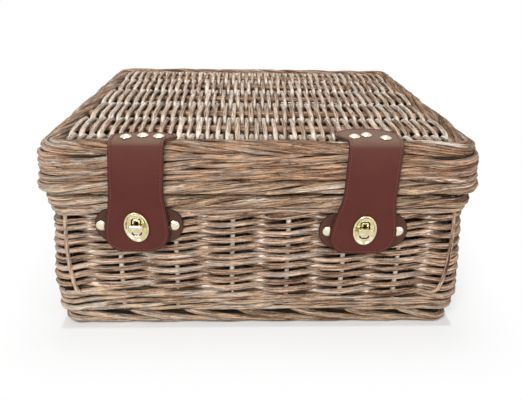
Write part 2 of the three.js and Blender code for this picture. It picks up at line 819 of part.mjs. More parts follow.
function tabRivetPlaces() {
  return STRAPS.flatMap(({ side, lockX, tabZ }) => [
    { name: `tab_rivet_${side}_1`, x: lockX - TAB_RIVET_SPACING / 2, z: tabZ },
    { name: `tab_rivet_${side}_2`, x: lockX + TAB_RIVET_SPACING / 2, z: tabZ },
  ]);
}

function lidRivetPlaces({ side, foldX, rivets }) {
  return rivets.map(([across, behind], i) => ({
    name: `strap_rivet_${side}_${i + 1}`,
    x: foldX + across,
    y: frontY(LID_BORDER_OUT) + behind,
  }));
}

// How far out the front of the body's rim rod is at a height
function rimFaceOut(z) {
  const radius = RIM_ROD_DIAMETER / 2;
  const rise = Math.min(Math.abs(rimZ - z), radius);
  return rimCentreOut + Math.sqrt(radius * radius - rise * rise);
}

// The catch tab lies on the weave, and its upper edge bends out where it meets the body's rim
function catchTab({ lockX, tabZ }) {
  const middle = tabInnerOut + TAB_THICKNESS / 2;
  const top = tabZ + TAB_HEIGHT / 2;
  const bendOut = Math.max(0, rimFaceOut(top) + 1.5 * GAP - tabInnerOut);
  const overrun = 1;
  const line = [
    [middle + bendOut * (1 + overrun / TAB_BEND_LENGTH), top + overrun],
    [middle, top - TAB_BEND_LENGTH],
    [middle, tabZ - TAB_HEIGHT / 2 - overrun],
  ];
  const { front, back } = stripShape(line, TAB_THICKNESS);
  const strip = acrossX(polygon([...front.reverse(), ...back]), TAB_WIDTH + 2);
  const outline = roundedRectangle(TAB_WIDTH, TAB_HEIGHT, TAB_ROUNDING);
  const cutter = moved(alongFront(outline, 0, 4 * tabOuterOut), 0, 0, tabZ);
  const holes = [-1, 1].map((sign) => {
    const hole = frontRod(RIVET_SHANK_DIAMETER + 2 * GAP, 0, 3 * tabOuterOut, 10);
    return moved(hole, sign * TAB_RIVET_SPACING / 2, 0, tabZ);
  });
  return moved(cutFrom(common(strip, cutter), holes), lockX, 0, 0);
}

// Brass

// A domed rivet that points up Z, with its head's underside at z = 0
function rivet(shankLength) {
  const head = RIVET_DIAMETER / 2;
  const radius = (head * head + RIVET_CROWN * RIVET_CROWN) / (2 * RIVET_CROWN);
  const profile = [
    new THREE.Vector2(0, -shankLength),
    new THREE.Vector2(RIVET_SHANK_DIAMETER / 2, -shankLength),
    new THREE.Vector2(RIVET_SHANK_DIAMETER / 2, 0),
  ];
  const edge = Math.asin(head / radius);
  const crownSteps = 3;
  for (let i = 0; i < crownSteps; i += 1) {
    const angle = edge * (1 - i / crownSteps);
    profile.push(new THREE.Vector2(
      radius * Math.sin(angle),
      radius * Math.cos(angle) + RIVET_CROWN - radius,
    ));
  }
  profile.push(new THREE.Vector2(0, RIVET_CROWN));
  return new THREE.LatheGeometry(profile, 12).rotateX(Math.PI / 2);
}

function lidRivet({ x, y }) {
  const head = anchorTop + GAP;
  return moved(rivet(head - lidTop + LID_RIVET_DEPTH), x, y, head);
}

function tabRivet({ x, z }) {
  const head = tabOuterOut + GAP;
  return moved(rivet(head + TAB_RIVET_DEPTH).rotateX(Math.PI / 2), x, frontY(head), z);
}

// The plate on the tab, with a raised boss that reaches through the strap and its plate
function lockBase({ lockX, lockZ }) {
  const bossTop = lockOut + LOCK_DISC;
  const boss = roundedRectangle(
    SLOT_WIDTH - 2 * BOSS_CLEARANCE,
    SLOT_HEIGHT - 2 * BOSS_CLEARANCE,
    SLOT_ROUNDING - BOSS_CLEARANCE / 2,
  );
  const plate = alongFront(
    ellipse(LOCK_BASE_WIDTH, LOCK_BASE_HEIGHT),
    lockBaseOut,
    lockBaseOut + LOCK_BASE_THICKNESS,
    10,
  );
  const joined = joinTo(plate, [alongFront(boss, lockBaseOut, bossTop)]);
  const bore = frontRod(
    KNOB_NECK_DIAMETER + 2 * GAP,
    knobOut - KNOB_NECK_LENGTH - GAP,
    knobOut + 1,
  );
  return moved(cutFrom(joined, [bore]), lockX, 0, lockZ);
}

// The knob lies across the slot when it is locked
function lockKnob({ lockX, lockZ }) {
  const bar = alongFront(
    roundedRectangle(KNOB_LENGTH, KNOB_WIDTH, KNOB_WIDTH / 3),
    knobOut,
    knobOut + KNOB_THICKNESS,
  );
  const neck = frontRod(KNOB_NECK_DIAMETER, knobOut - KNOB_NECK_LENGTH, knobOut + KNOB_THICKNESS / 2);
  return moved(joinTo(bar, [neck]), lockX, 0, lockZ);
}

// The oval plate on the strap: a raised rim round a disc with an upright slot
function lockPlate({ lockX, lockZ }) {
  const disc = alongFront(ellipse(LOCK_WIDTH - 1, LOCK_HEIGHT - 1), lockOut, lockOut + LOCK_DISC, 12);
  const rimShape = ellipse(LOCK_WIDTH, LOCK_HEIGHT);
  rimShape.holes.push(ellipse(LOCK_WIDTH - 2 * LOCK_RIM_WIDTH, LOCK_HEIGHT - 2 * LOCK_RIM_WIDTH));
  const rim = alongFront(rimShape, lockOut, lockOut + LOCK_RIM_HEIGHT, 12);
  const slot = roundedRectangle(SLOT_WIDTH, SLOT_HEIGHT, SLOT_ROUNDING);
  const hole = alongFront(slot, lockOut - 1, lockOut + LOCK_DISC + 1);
  return moved(cutFrom(joinTo(rim, [disc]), [hole]), lockX, 0, lockZ);
}

// The hamper, with the middle of its overall depth on the origin

const hamper = new THREE.Group();
const frontReach = knobOut + KNOB_THICKNESS;
const backReach = lidRimCentreOut + LID_ROD_DIAMETER / 2 + LOOP_CLEARANCE + LOOP_THICKNESS;
hamper.position.y = (frontReach - backReach) / 2;

function addPiece(name, geometry, color, roughness, metalness) {
  geometry.computeVertexNormals();
  const mesh = new THREE.Mesh(geometry, new THREE.MeshStandardMaterial({ color, roughness, metalness }));
  mesh.name = name;
  hamper.add(mesh);
}

function addWillow(name, geometry, color) {
  addPiece(name, geometry, color, 0.85, 0);
}

function addLeather(name, geometry) {
  addPiece(name, geometry, LEATHER, 0.5, 0);
}

function addBrass(name, geometry) {
  addPiece(name, geometry, BRASS, 0.25, 1);
}

addWillow('foot_border', footBorder(), WILLOW_BROWN);
addWillow('base_panel', basePanel(), WILLOW_TAN);
addWillow('upset_wale', upsetWale(), WILLOW_GREY);
addWillow('wall_weave', wallWeave(), WILLOW_TAN);
addWillow('rim_border', rimBorder(), WILLOW_BROWN);
for (const { name, x, y } of stakePlaces()) {
  addWillow(name, moved(rod(STAKE_DIAMETER, waleBottom, weaveTop), x, y, 0), WILLOW_BROWN);
}
for (const { name, x, y } of cornerPlaces()) {
  addWillow(name, moved(rod(CORNER_POST_DIAMETER, waleBottom, weaveTop), x, y, 0), WILLOW_BROWN);
}
for (const strap of STRAPS) {
  addLeather(`catch_tab_${strap.side}`, catchTab(strap));
  addBrass(`turnlock_base_${strap.side}`, lockBase(strap));
  addBrass(`turnlock_knob_${strap.side}`, lockKnob(strap));
}
for (const place of tabRivetPlaces()) {
  addBrass(place.name, tabRivet(place));
}

addWillow('lid_rim_border', lidRimBorder(), WILLOW_BROWN);
addWillow('lid_wall', lidWall(), WILLOW_TAN);
addWillow('lid_top_border', lidTopBorder(), WILLOW_BROWN);
addWillow('lid_panel', lidPanel(), WILLOW_GREY);
for (const { side, x } of loopPlaces()) {
  addWillow(`hinge_loop_${side}`, moved(hingeLoop(), x, 0, 0), WILLOW_BROWN);
}
for (const strap of STRAPS) {
  addLeather(`strap_anchor_${strap.side}`, strapAnchor(strap));
  for (const place of lidRivetPlaces(strap)) {
    addBrass(place.name, lidRivet(place));
  }
  addLeather(`strap_tail_${strap.side}`, strapTail(strap));
  addBrass(`turnlock_plate_${strap.side}`, lockPlate(strap));
}

export default hamper;
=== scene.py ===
import math

import bmesh
import bpy
import numpy as np
from mathutils import Matrix, Vector


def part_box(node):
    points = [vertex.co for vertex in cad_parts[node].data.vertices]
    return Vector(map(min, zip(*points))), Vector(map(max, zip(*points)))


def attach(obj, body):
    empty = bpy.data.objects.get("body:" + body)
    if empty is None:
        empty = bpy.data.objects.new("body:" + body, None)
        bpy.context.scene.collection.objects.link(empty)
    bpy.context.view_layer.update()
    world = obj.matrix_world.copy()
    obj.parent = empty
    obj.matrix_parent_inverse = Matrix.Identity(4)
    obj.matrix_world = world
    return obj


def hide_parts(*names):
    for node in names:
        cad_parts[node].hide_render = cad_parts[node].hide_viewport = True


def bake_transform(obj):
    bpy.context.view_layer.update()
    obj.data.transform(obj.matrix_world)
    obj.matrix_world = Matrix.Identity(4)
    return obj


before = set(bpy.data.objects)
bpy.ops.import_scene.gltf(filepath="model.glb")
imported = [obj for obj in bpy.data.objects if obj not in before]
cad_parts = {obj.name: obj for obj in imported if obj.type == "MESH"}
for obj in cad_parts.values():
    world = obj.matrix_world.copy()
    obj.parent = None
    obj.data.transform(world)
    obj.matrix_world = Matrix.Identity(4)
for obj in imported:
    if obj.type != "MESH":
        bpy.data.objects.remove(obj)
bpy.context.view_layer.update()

MM = 0.001
rng = np.random.default_rng(1593)

# Sizes from the CAD frame

BODY_WIDTH = 400.0
BODY_DEPTH = 340.0
CORNER_RADIUS = 18.0
LINE_OUT = -5.0  # the middle line of the wall, on which the stakes stand
SIDES = ("left", "right")
HALF_FRONT = BODY_WIDTH / 2 - CORNER_RADIUS  # half of the straight run between two corners
HALF_SIDE = BODY_DEPTH / 2 - CORNER_RADIUS


def node_box(name):
    low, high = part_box(name)
    return np.array(low) / MM, np.array(high) / MM


def node_middle(name):
    low, high = node_box(name)
    return (low + high) / 2


def heights(name):
    low, high = node_box(name)
    return low[2], high[2]


SHIFT_Y = node_middle("rim_border")[1]
WALE_BOTTOM, WALE_TOP = heights("upset_wale")
WEAVE_BOTTOM, WEAVE_TOP = heights("wall_weave")
RIM_BOTTOM, RIM_TOP = heights("rim_border")
LID_RIM_BOTTOM, LID_RIM_TOP = heights("lid_rim_border")
LID_WALL_BOTTOM, LID_WALL_TOP = heights("lid_wall")
LID_EDGE_BOTTOM, LID_TOP = heights("lid_top_border")
BASE_BOTTOM, BASE_TOP = heights("base_panel")

# The way round the hamper


class Way:
    """The wall's middle line: counter-clockwise from the front face's left end, seen from above."""

    def __init__(self):
        x, y = BODY_WIDTH / 2, BODY_DEPTH / 2
        self.turn = (CORNER_RADIUS + LINE_OUT) * math.pi / 2
        self.legs = []
        start = 0.0
        for length, heading, begin, corner in (
                (2 * HALF_FRONT, 0, (-HALF_FRONT, -y), (HALF_FRONT, -HALF_SIDE)),
                (2 * HALF_SIDE, 90, (x, -HALF_SIDE), (HALF_FRONT, HALF_SIDE)),
                (2 * HALF_FRONT, 180, (HALF_FRONT, y), (-HALF_FRONT, HALF_SIDE)),
                (2 * HALF_SIDE, 270, (-x, HALF_SIDE), (-HALF_FRONT, -HALF_SIDE))):
            angle = math.radians(heading)
            direction = np.array([math.cos(angle), math.sin(angle)])
            normal = np.array([direction[1], -direction[0]])
            self.legs.append((start, length, np.array(begin), direction, normal))
            start += length
            self.legs.append((start, self.turn, np.array(corner), angle - math.pi / 2, None))
            start += self.turn
        self.length = start

    def at(self, s, out, z):
        """Points at distance s along the line, at a distance out and a height, as an array of xyz."""
        s = np.mod(np.asarray(s, float), self.length)
        out = np.broadcast_to(np.asarray(out, float), s.shape)
        z = np.broadcast_to(np.asarray(z, float), s.shape)
        xy = np.zeros(s.shape + (2,))
        for start, length, place, heading, normal in self.legs:
            here = (s >= start - 1e-9) & (s < start + length)
            t = s[here] - start
            if normal is not None:
                xy[here] = place + t[:, None] * heading + out[here][:, None] * normal
            else:
                angle = heading + t / length * math.pi / 2
                reach = CORNER_RADIUS + out[here]
                xy[here] = place + reach[:, None] * np.stack([np.cos(angle), np.sin(angle)], 1)
        return np.stack([xy[..., 0], xy[..., 1] + SHIFT_Y, z], -1)


way = Way()


def upright_places():
    """(name, s) of every stake and corner post, in order along the way."""
    found = []
    for i, (face, count, axis, sign, corner) in enumerate((
            ("front", 6, 0, 1, "front_right"), ("right", 5, 1, 1, "back_right"),
            ("back", 6, 0, -1, "back_left"), ("left", 5, 1, -1, "front_left"))):
        start = way.legs[2 * i][0] + (HALF_FRONT, HALF_SIDE)[axis]
        for number in range(1, count + 1)[::sign]:
            name = f"stake_{face}_{number}"
            found.append((name, start + sign * (node_middle(name)[axis] - (0, SHIFT_Y)[axis])))
        found.append((f"corner_post_{corner}", way.legs[2 * i + 1][0] + way.turn / 2))
    return found


UPRIGHTS = upright_places()
STAKE_S = np.array([s for _, s in UPRIGHTS])
COUNT = len(STAKE_S)
SPACING = way.length / COUNT
CORNER_SPREAD = 15  # how far along the wall a corner's bulge reaches to each side


def stake_number(s):
    """How many stakes lie before s, counted evenly between stakes."""
    s = np.asarray(s, float)
    turns = np.floor(s / way.length)
    rest = s - turns * way.length
    marks = np.concatenate([[STAKE_S[-1] - way.length], STAKE_S, [STAKE_S[0] + way.length]])
    return turns * COUNT + np.interp(rest, marks, np.arange(-1, COUNT + 1))


def place_of(number):
    """The distance s of a stake number, which may be a fraction or past a whole turn."""
    number = np.asarray(number, float)
    turns = np.floor(number / COUNT)
    rest = number - turns * COUNT
    marks = np.concatenate([STAKE_S, [STAKE_S[0] + way.length]])
    return turns * way.length + np.interp(rest, np.arange(COUNT + 1), marks)


def all_round(step):
    """Places that far apart, all the way round."""
    return np.arange(0, way.length, step)


def bell(away, width):
    return np.exp(-(away / width) ** 2)


def corner_share(s):
    """1 at the middle of a corner, and 0 along the faces."""
    share = np.zeros(len(s))
    for name, middle in UPRIGHTS:
        if name.startswith("corner"):
            away = np.mod(s - middle + way.length / 2, way.length) - way.length / 2
            share = np.maximum(share, bell(away, CORNER_SPREAD))
    return share


# Lines and chance

STEP = 4.0  # between two points of a rod in the walls and borders


def drift(count, spacing, amount, step=STEP):
    """Smooth chance change along a rod of so many points a step apart."""
    knots = rng.normal(0, amount, int(count * step / spacing) + 3)
    t = np.arange(count) * step / spacing
    i = np.minimum(t.astype(int), len(knots) - 2)
    f = s_curve(t - i)
    return knots[i] * (1 - f) + knots[i + 1] * f


def s_curve(t):
    t = np.clip(t, 0, 1)
    return t * t * (3 - 2 * t)


def smoothed(values, width):
    """A running mean over so many points, with the ends held."""
    return np.convolve(np.pad(values, width // 2, "edge"), np.ones(width) / width, "valid")


def run_lengths(points):
    """How far along a line each of its points lies."""
    return np.concatenate([[0], np.cumsum(np.linalg.norm(np.diff(points, axis=0), axis=1))])


def unit(vectors):
    return vectors / (np.linalg.norm(vectors, axis=1)[:, None] + 1e-9)


# Rods

MAP_GAP = 1.0  # left between two strips of the texture map
GREYER = 150.0  # rods turn greyer to the left, most of all beyond this distance from the middle
KNOT_SPACING = 75
KNOT_LENGTH = 3.0
UPRIGHT = (0.7, 0.7, 0.0)  # the cross direction of rods that stand


class Rods:
    """Many rods as one mesh. Each vertex keeps where it is on its rod and how its rod is toned: its tint,
    its white wash and its painted shade.
    """

    def __init__(self, outer_shade=False, inner=0.0, crease_shade=0.0, mark_at=0.6):
        self.outer_shade = outer_shade
        self.mark_at = mark_at
        self.inner = inner
        self.crease_shade = crease_shade
        self.verts, self.quads, self.caps, self.place, self.tone = [], [], [], [], []
        self.strips = []
        self.count = 0

    def tube(self, path, radius, sides=7, up=(0, 0, 1), flat=1.0, wash=0.3, tint=None, shade=0.0,
             mark=0.0, knots=True, closed=False):
        """The radius is along up, and flat times it across. What the rod has may vary along its path."""
        path = np.asarray(path, float)
        n = len(path)
        values = (radius, flat, wash, shade, mark)
        radius, flat, wash, shade, mark = (np.broadcast_to(np.asarray(v, float), n).copy() for v in values)
        tint = rng.random() if tint is None else tint
        if closed:
            tangent = unit(np.roll(path, -1, 0) - np.roll(path, 1, 0))
        else:
            tangent = unit(np.gradient(path, axis=0))
        along = run_lengths(path)
        side = unit(np.cross(tangent, np.asarray(up, float)))
        top = np.cross(side, tangent)
        if knots:
            for knot in rng.uniform(0, along[-1], int(along[-1] / KNOT_SPACING)):
                radius *= 1 + 0.09 * bell(along - knot, KNOT_LENGTH)
        angle = np.arange(sides) * 2 * math.pi / sides
        lumps = 1 + 0.035 * rng.normal(0, 1, (n, sides))
        c, s = np.cos(angle), np.sin(angle)
        ring = (side[:, None, :] * (radius * flat)[:, None, None] * (c * lumps)[:, :, None]
                + top[:, None, :] * radius[:, None, None] * (s * lumps)[:, :, None])
        self.verts.append((path[:, None, :] + ring).reshape(-1, 3))
        lengths = np.diff(along)
        if closed:
            lengths = np.append(lengths, lengths.mean())
        self.strips.append((lengths, sides, 2 * math.pi * radius.mean()))
        self.join(n, len(lengths), sides)
        spot = np.empty((n, sides, 3))
        spot[:, :, 0] = c
        spot[:, :, 1] = s
        spot[:, :, 2] = along[:, None] / 30.0 + rng.uniform(0, 400)
        self.place.append(spot.reshape(-1, 3))
        left = -path[:, 0]
        tint = tint + 0.25 * np.clip(left / GREYER, -0.5, 0.5) + 0.4 * np.clip((left - GREYER) / 50, 0, 1)
        # Painted shade: shade darkens the rod, mostly on its outward side where outer_shade is set; inner
        # paints shade on the side facing into the hamper; the crease strength paints shade along the rod's
        # bottom edge and less along its top.
        dark = shade[:, None] * (np.clip(0.55 + 0.8 * c, 0.15, 1) if self.outer_shade else 1.0)
        inside = self.inner * np.clip(0.3 - 1.2 * c, 0, 1)
        painted_crease_shade = self.crease_shade * np.clip((np.abs(s) - 0.7) / 0.3, 0, 1) * np.where(s < 0, 1.0, 0.3)
        tone = np.empty((n, sides, 3))
        tone[:, :, 0] = tint[:, None]
        tone[:, :, 1] = wash[:, None] + mark[:, None] * bell(s - self.mark_at, 0.3)
        tone[:, :, 2] = np.maximum(dark, np.maximum(inside, painted_crease_shade))
        self.tone.append(tone.reshape(-1, 3))

    def join(self, n, rows, sides):
        """Faces between n rings of points, and caps where the rings don't close."""
        i = np.repeat(np.arange(rows), sides)
        j = np.tile(np.arange(sides), rows)
        k = (j + 1) % sides
        i2 = (i + 1) % n
        quads = np.stack([i * sides + j, i2 * sides + j, i2 * sides + k, i * sides + k], 1)
        self.quads.append(quads + self.count)
        if rows < n:
            ends = self.count + np.arange(sides)
            self.caps += [ends[::-1].tolist(), (ends + rows * sides).tolist()]
        self.count += n * sides

    def ring(self, s, out, z, radius, sides=6, bulge=0.0, **look):
        """A closed rod through places all the way round, further out by bulge at the corners."""
        self.tube(way.at(s, out + bulge * corner_share(s), z), radius, sides, closed=True, **look)

    def piece(self, name, material, body, slot, *nodes):
        obj = self.mesh(name, material)
        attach(obj, body)
        if nodes:
            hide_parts(*nodes)

    def mesh(self, name, material):
        quads = np.concatenate(self.quads).tolist()
        mesh = bpy.data.meshes.new(name)
        mesh.from_pydata((np.concatenate(self.verts) * MM).tolist(), [], quads + self.caps)
        mesh.validate()
        for key, values in (("rod_place", self.place), ("rod_tone", self.tone)):
            attribute = mesh.attributes.new(key, "FLOAT_VECTOR", "POINT")
            attribute.data.foreach_set("vector", np.concatenate(values).astype(np.float32).ravel())
        mesh.polygons.foreach_set("use_smooth", np.arange(len(mesh.polygons)) < len(quads))
        self.map_strips(mesh)
        return linked(name, mesh, material)

    def map_strips(self, mesh):
        """Lays each rod out as strips, one above the other, in a texture map."""
        area = sum(lengths.sum() * (around + MAP_GAP) for lengths, _, around in self.strips)
        width = math.sqrt(area) * 1.02
        parts = []
        x = y = row_height = 0.0
        for lengths, sides, around in self.strips:
            x += MAP_GAP
            row_height = max(row_height, around + MAP_GAP)
            spans = []
            for length in lengths:
                if x + length > width:
                    x, y, row_height = 0.0, y + row_height, around + MAP_GAP
                spans.append((x, x + length, y))
                x += length
            low, high, base = np.repeat(spans, sides, 0).T
            step = around / sides
            base = base + np.tile(np.arange(sides), len(spans)) * step
            parts.append(np.stack([low, base, high, base, high, base + step, low, base + step], 1))
        size = max(width, y + row_height) + MAP_GAP
        parts = [np.concatenate(parts).reshape(-1, 2) / size]
        for cap in self.caps:
            angle = np.arange(len(cap)) * 2 * math.pi / len(cap)
            parts.append(1 - (0.5 - 0.3 * np.stack([np.cos(angle), np.sin(angle)], 1)) / size)
        layer = mesh.uv_layers.new(name="OFBake")
        layer.data.foreach_set("uv", np.concatenate(parts).astype(np.float32).ravel())


def linked(name, mesh, material):
    """A new object of the mesh, in the scene."""
    obj = bpy.data.objects.new(name, mesh)
    bpy.context.scene.collection.objects.link(obj)
    mesh.materials.append(material)
    return obj


def made(name, bm, material):
    """A new object of the bmesh, shaded smooth."""
    bmesh.ops.recalc_face_normals(bm, faces=bm.faces)
    mesh = bpy.data.meshes.new(name)
    bm.to_mesh(mesh)
    bm.free()
    mesh.polygons.foreach_set("use_smooth", [True] * len(mesh.polygons))
    return linked(name, mesh, material)


# Materials


def linear(colour):
    """A colour of 0 to 255 as the shaders take it."""
    def one(v):
        v /= 255
        return v / 12.92 if v <= 0.04045 else ((v + 0.055) / 1.055) ** 2.4
    return tuple(one(v) for v in colour) + (1.0,)


class Graph:
    """A tree of shader nodes, with a short way to add and join them."""

    def __init__(self, tree):
        self.tree = tree
        tree.nodes.clear()

    def add(self, kind, settings=(), **inputs):
        node = self.tree.nodes.new("ShaderNode" + kind)
        for key, value in dict(settings).items():
            setattr(node, key, value)
        self.set(node, **inputs)
        return node

    def set(self, node, **inputs):
        for key, value in inputs.items():
            self.put(node.inputs[key.replace("_", " ")], value)

    def put(self, socket, value):
        if isinstance(value, bpy.types.NodeSocket):
            self.tree.links.new(value, socket)
        else:
            socket.default_value = value

    def attribute(self, name):
        return self.add("Attribute", {"attribute_name": name}).outputs["Vector"]

    def split(self, vector):
        return self.add("SeparateXYZ", Vector=vector).outputs

    def scaled(self, vector, factors):
        node = self.add("VectorMath", {"operation": "MULTIPLY"})
        self.put(node.inputs[0], vector)
        self.put(node.inputs[1], factors)
        return node.outputs[0]

    def noise(self, vector, scale, detail, roughness):
        node = self.add("TexNoise", Vector=vector, Scale=scale, Detail=detail, Roughness=roughness)
        return node.outputs["Fac"]

    def math(self, operation, a, b=0.0):
        node = self.add("Math", {"operation": operation})
        self.put(node.inputs[0], a)
        self.put(node.inputs[1], b)
        return node.outputs[0]

    def plus(self, a, b):
        return self.math("ADD", a, b)

    def minus(self, a, b):
        return self.math("SUBTRACT", a, b)

    def times(self, a, b):
        return self.math("MULTIPLY", a, b)

    def ramp(self, value, low, high, start=0.0, end=1.0):
        node = self.add("MapRange", {"clamp": True, "interpolation_type": "SMOOTHSTEP"})
        self.set(node, Value=value, From_Min=low, From_Max=high, To_Min=start, To_Max=end)
        return node.outputs[0]

    def steps(self, value, *stops):
        """A colour ramp of (position, colour) stops."""
        node = self.add("ValToRGB", Fac=value)
        elements = node.color_ramp.elements
        while len(elements) < len(stops):
            elements.new(0.5)
        for element, (position, colour) in zip(elements, stops):
            element.position = position
            element.color = colour
        return node.outputs["Color"]

    def mix(self, share, a, b, blend="MIX"):
        node = self.add("Mix", {"data_type": "RGBA", "blend_type": blend})
        self.put(node.inputs[0], share)
        self.put(node.inputs[6], a)
        self.put(node.inputs[7], b)
        return node.outputs[2]

    def shaded(self, colour, factor):
        """The colour times one factor."""
        grey = self.add("CombineColor", Red=factor, Green=factor, Blue=factor).outputs[0]
        return self.mix(1.0, colour, grey, "MULTIPLY")

    def bump(self, height, distance, strength):
        return self.add("Bump", Height=height, Distance=distance, Strength=strength).outputs[0]

    def seen_directly(self):
        """1 for rays that carry what the camera sees, also by a mirror or through glass."""
        rays = self.add("LightPath").outputs
        mirrored = self.math("MAXIMUM", rays["Is Glossy Ray"], rays["Is Transmission Ray"])
        return self.math("MAXIMUM", rays["Is Camera Ray"], mirrored)


class Surface(Graph):
    """A new material with one shader."""

    def __init__(self, name):
        self.material = bpy.data.materials.new(name)
        self.material.use_nodes = True
        super().__init__(self.material.node_tree)
        self.output = self.add("OutputMaterial")
        self.shader = self.add("BsdfPrincipled")
        self.put(self.output.inputs[0], self.shader.outputs[0])

    def finish(self, **inputs):
        self.set(self.shader, **inputs)
        return self.material


WASH_WHITE = linear((252, 241, 226))


def willow(name, *colours, contrast=1.0):
    """Weathered willow with its bark on: streaks, splits and flecks along the rod, white wash, and the
    painted shade that each rod carries.
    """
    dark, mid, light, grey = (linear(colour) for colour in colours)
    bright = tuple(min(1.0, 1.3 * c) for c in light[:3]) + (1.0,)
    g = Surface(name)
    place = g.attribute("rod_place")
    tint, wash, shade = g.split(g.attribute("rod_tone"))[:3]

    def marks(around, along, detail, roughness):
        """Noise that changes so fast round the rod and along it."""
        return g.noise(g.scaled(place, (around, around, along)), 1.0, detail, roughness)

    broad = marks(1.2, 0.7, 2.0, 0.5)
    streak = marks(3.6, 1.2, 3.0, 0.55)
    fleck = marks(4.5, 13.0, 2.0, 0.6)
    split = marks(2.3, 1.2, 1.0, 0.5)
    patch = marks(0.6, 1.9, 3.0, 0.6)
    splash = marks(4.2, 1.9, 3.0, 0.6)
    tone = g.plus(g.plus(g.times(streak, 0.5), g.times(fleck, 0.2)), g.times(broad, 0.3))
    tone = g.plus(tone, g.times(g.minus(tint, 0.5), 0.07))
    spread = 0.12 / contrast
    level = g.ramp(tone, 0.5 - spread, 0.5 + spread)
    colour = g.steps(level, (0.0, dark), (0.3, mid), (0.68, light), (1.0, bright))
    aged = g.shaded(grey, g.ramp(level, 0.0, 1.0, 0.4, 1.4))
    colour = g.mix(g.ramp(g.plus(patch, g.times(tint, 0.16)), 0.57, 0.74), colour, aged)
    line = g.ramp(g.math("ABSOLUTE", g.minus(split, 0.5)), 0.05, 0.012)
    colour = g.mix(g.times(line, 0.6), colour, dark)
    white = g.plus(g.times(g.minus(splash, 0.5), 1.7), g.times(wash, 0.52))
    colour = g.mix(g.ramp(white, 0.37, 0.44), colour, WASH_WHITE)
    # Painted shade: each rod's shade value darkens its colour.
    colour = g.shaded(colour, g.minus(1.0, g.times(shade, 0.94)))
    relief = g.minus(tone, g.times(line, 0.12))
    return g.finish(Base_Color=colour, Roughness=g.ramp(fleck, 0.3, 0.7, 0.82, 0.55),
                    Specular_IOR_Level=0.12, Normal=g.bump(relief, 0.0024, 1.0))


def leather(name, base, edge):
    """Smooth finished leather: fine even grain, a fold lightened by wear and by a painted sheen, burnished
    edges and a raw back.
    """
    base, edge, wear_and_sheen_colour, back_colour = (linear(c) for c in (base, edge, (112, 88, 72), (122, 84, 64)))
    g = Surface(name)
    place = g.attribute("hide_place")
    gap, back, top = g.split(g.attribute("hide_edge"))[:3]
    cloud = g.noise(g.scaled(place, (0.03,) * 3), 1.0, 2.0, 0.5)
    pores = g.add("TexVoronoi", Vector=g.scaled(place, (1.7,) * 3), Scale=1.0).outputs["Distance"]
    grain = g.noise(g.scaled(place, (2.2,) * 3), 1.0, 3.0, 0.7)
    colour = g.shaded(base, g.ramp(cloud, 0.3, 0.7, 0.93, 1.06))
    colour = g.shaded(colour, g.ramp(grain, 0.3, 0.7, 0.86, 1.14))
    # Wear with a painted sheen: the fold over the lid's edge turns greyer and lighter.
    wear_and_sheen = g.times(top, g.ramp(cloud, 0.3, 0.6, 0.8, 1.0))
    colour = g.mix(wear_and_sheen, colour, g.mix(0.85, base, wear_and_sheen_colour))
    colour = g.mix(g.ramp(gap, 1.3, 0.1), colour, edge)
    colour = g.mix(back, colour, back_colour)
    relief = g.minus(g.times(grain, 0.5), g.times(pores, 0.35))
    return g.finish(Base_Color=colour, Roughness=g.ramp(grain, 0.3, 0.7, 0.48, 0.62),
                    Specular_IOR_Level=0.25, Normal=g.bump(relief, 0.0002, 0.8))


def brass(name, colour, roughness):
    """Polished brass with a little tarnish in its hollows."""
    g = Surface(name)
    spot = g.add("TexCoord").outputs["Object"]
    cloud = g.noise(spot, 160.0, 3.0, 0.6)
    fine = g.noise(spot, 900.0, 2.0, 0.5)
    mottled = g.mix(g.ramp(cloud, 0.35, 0.7), linear(colour), linear((236, 228, 200)))
    dullness = g.ramp(cloud, 0.3, 0.75, roughness, roughness + 0.14)
    return g.finish(Base_Color=mottled, Metallic=1.0, Roughness=dullness,
                    Normal=g.bump(g.plus(cloud, g.times(fine, 0.3)), 0.00008, 0.6))


def waxed_thread(name, colour):
    g = Surface(name)
    fine = g.noise(g.add("TexCoord").outputs["Object"], 1500.0, 3.0, 0.6)
    light = linear(colour)
    dark = tuple(0.6 * c for c in light[:3]) + (1.0,)
    return g.finish(Base_Color=g.mix(g.ramp(fine, 0.3, 0.7), light, dark), Roughness=0.6,
                    Normal=g.bump(fine, 0.0001, 0.7))


WALL_WILLOW = willow("willow_wall", (74, 49, 36), (167, 134, 109), (222, 188, 160), (188, 170, 155))
BORDER_WILLOW = willow("willow_border", (82, 54, 38), (174, 139, 111), (220, 186, 154), (182, 163, 145))
WALE_WILLOW = willow("willow_wale", (82, 55, 40), (188, 151, 123), (234, 199, 168), (196, 177, 160))
WARM_WILLOW = willow("willow_warm", (74, 44, 30), (158, 119, 92), (206, 167, 135), (172, 152, 136))
LID_WILLOW = willow("willow_lid", (94, 68, 54), (196, 166, 144), (238, 211, 187), (216, 202, 190))
STICK_WILLOW = willow(
    "willow_stick", (92, 62, 46), (184, 143, 112), (222, 180, 146), (176, 154, 134), contrast=0.85)
STRAP_LEATHER = leather("leather_strap", (84, 34, 26), (50, 22, 18))
TAB_LEATHER = leather("leather_tab", (76, 44, 32), (40, 22, 16))
BRASS = brass("brass", (214, 200, 152), 0.12)
PALE_BRASS = brass("brass_pale", (232, 222, 196), 0.16)
THREAD = waxed_thread("thread", (116, 60, 50))

# The body's weave

FILLER_STEP = 7.0
CORE_STEP = 8.0
PAIR_ROWS = 10
PAIR_PITCH = 9.3
PAIR_RADIUS = 3.15
PAIR_SWING = 4.1
PAIR_RISE = 2.3
PAIR_END = 7  # how far a rod's ends lie past the stakes that hide them
TOP_WALE = 2.5  # the height of the close rods under the rim


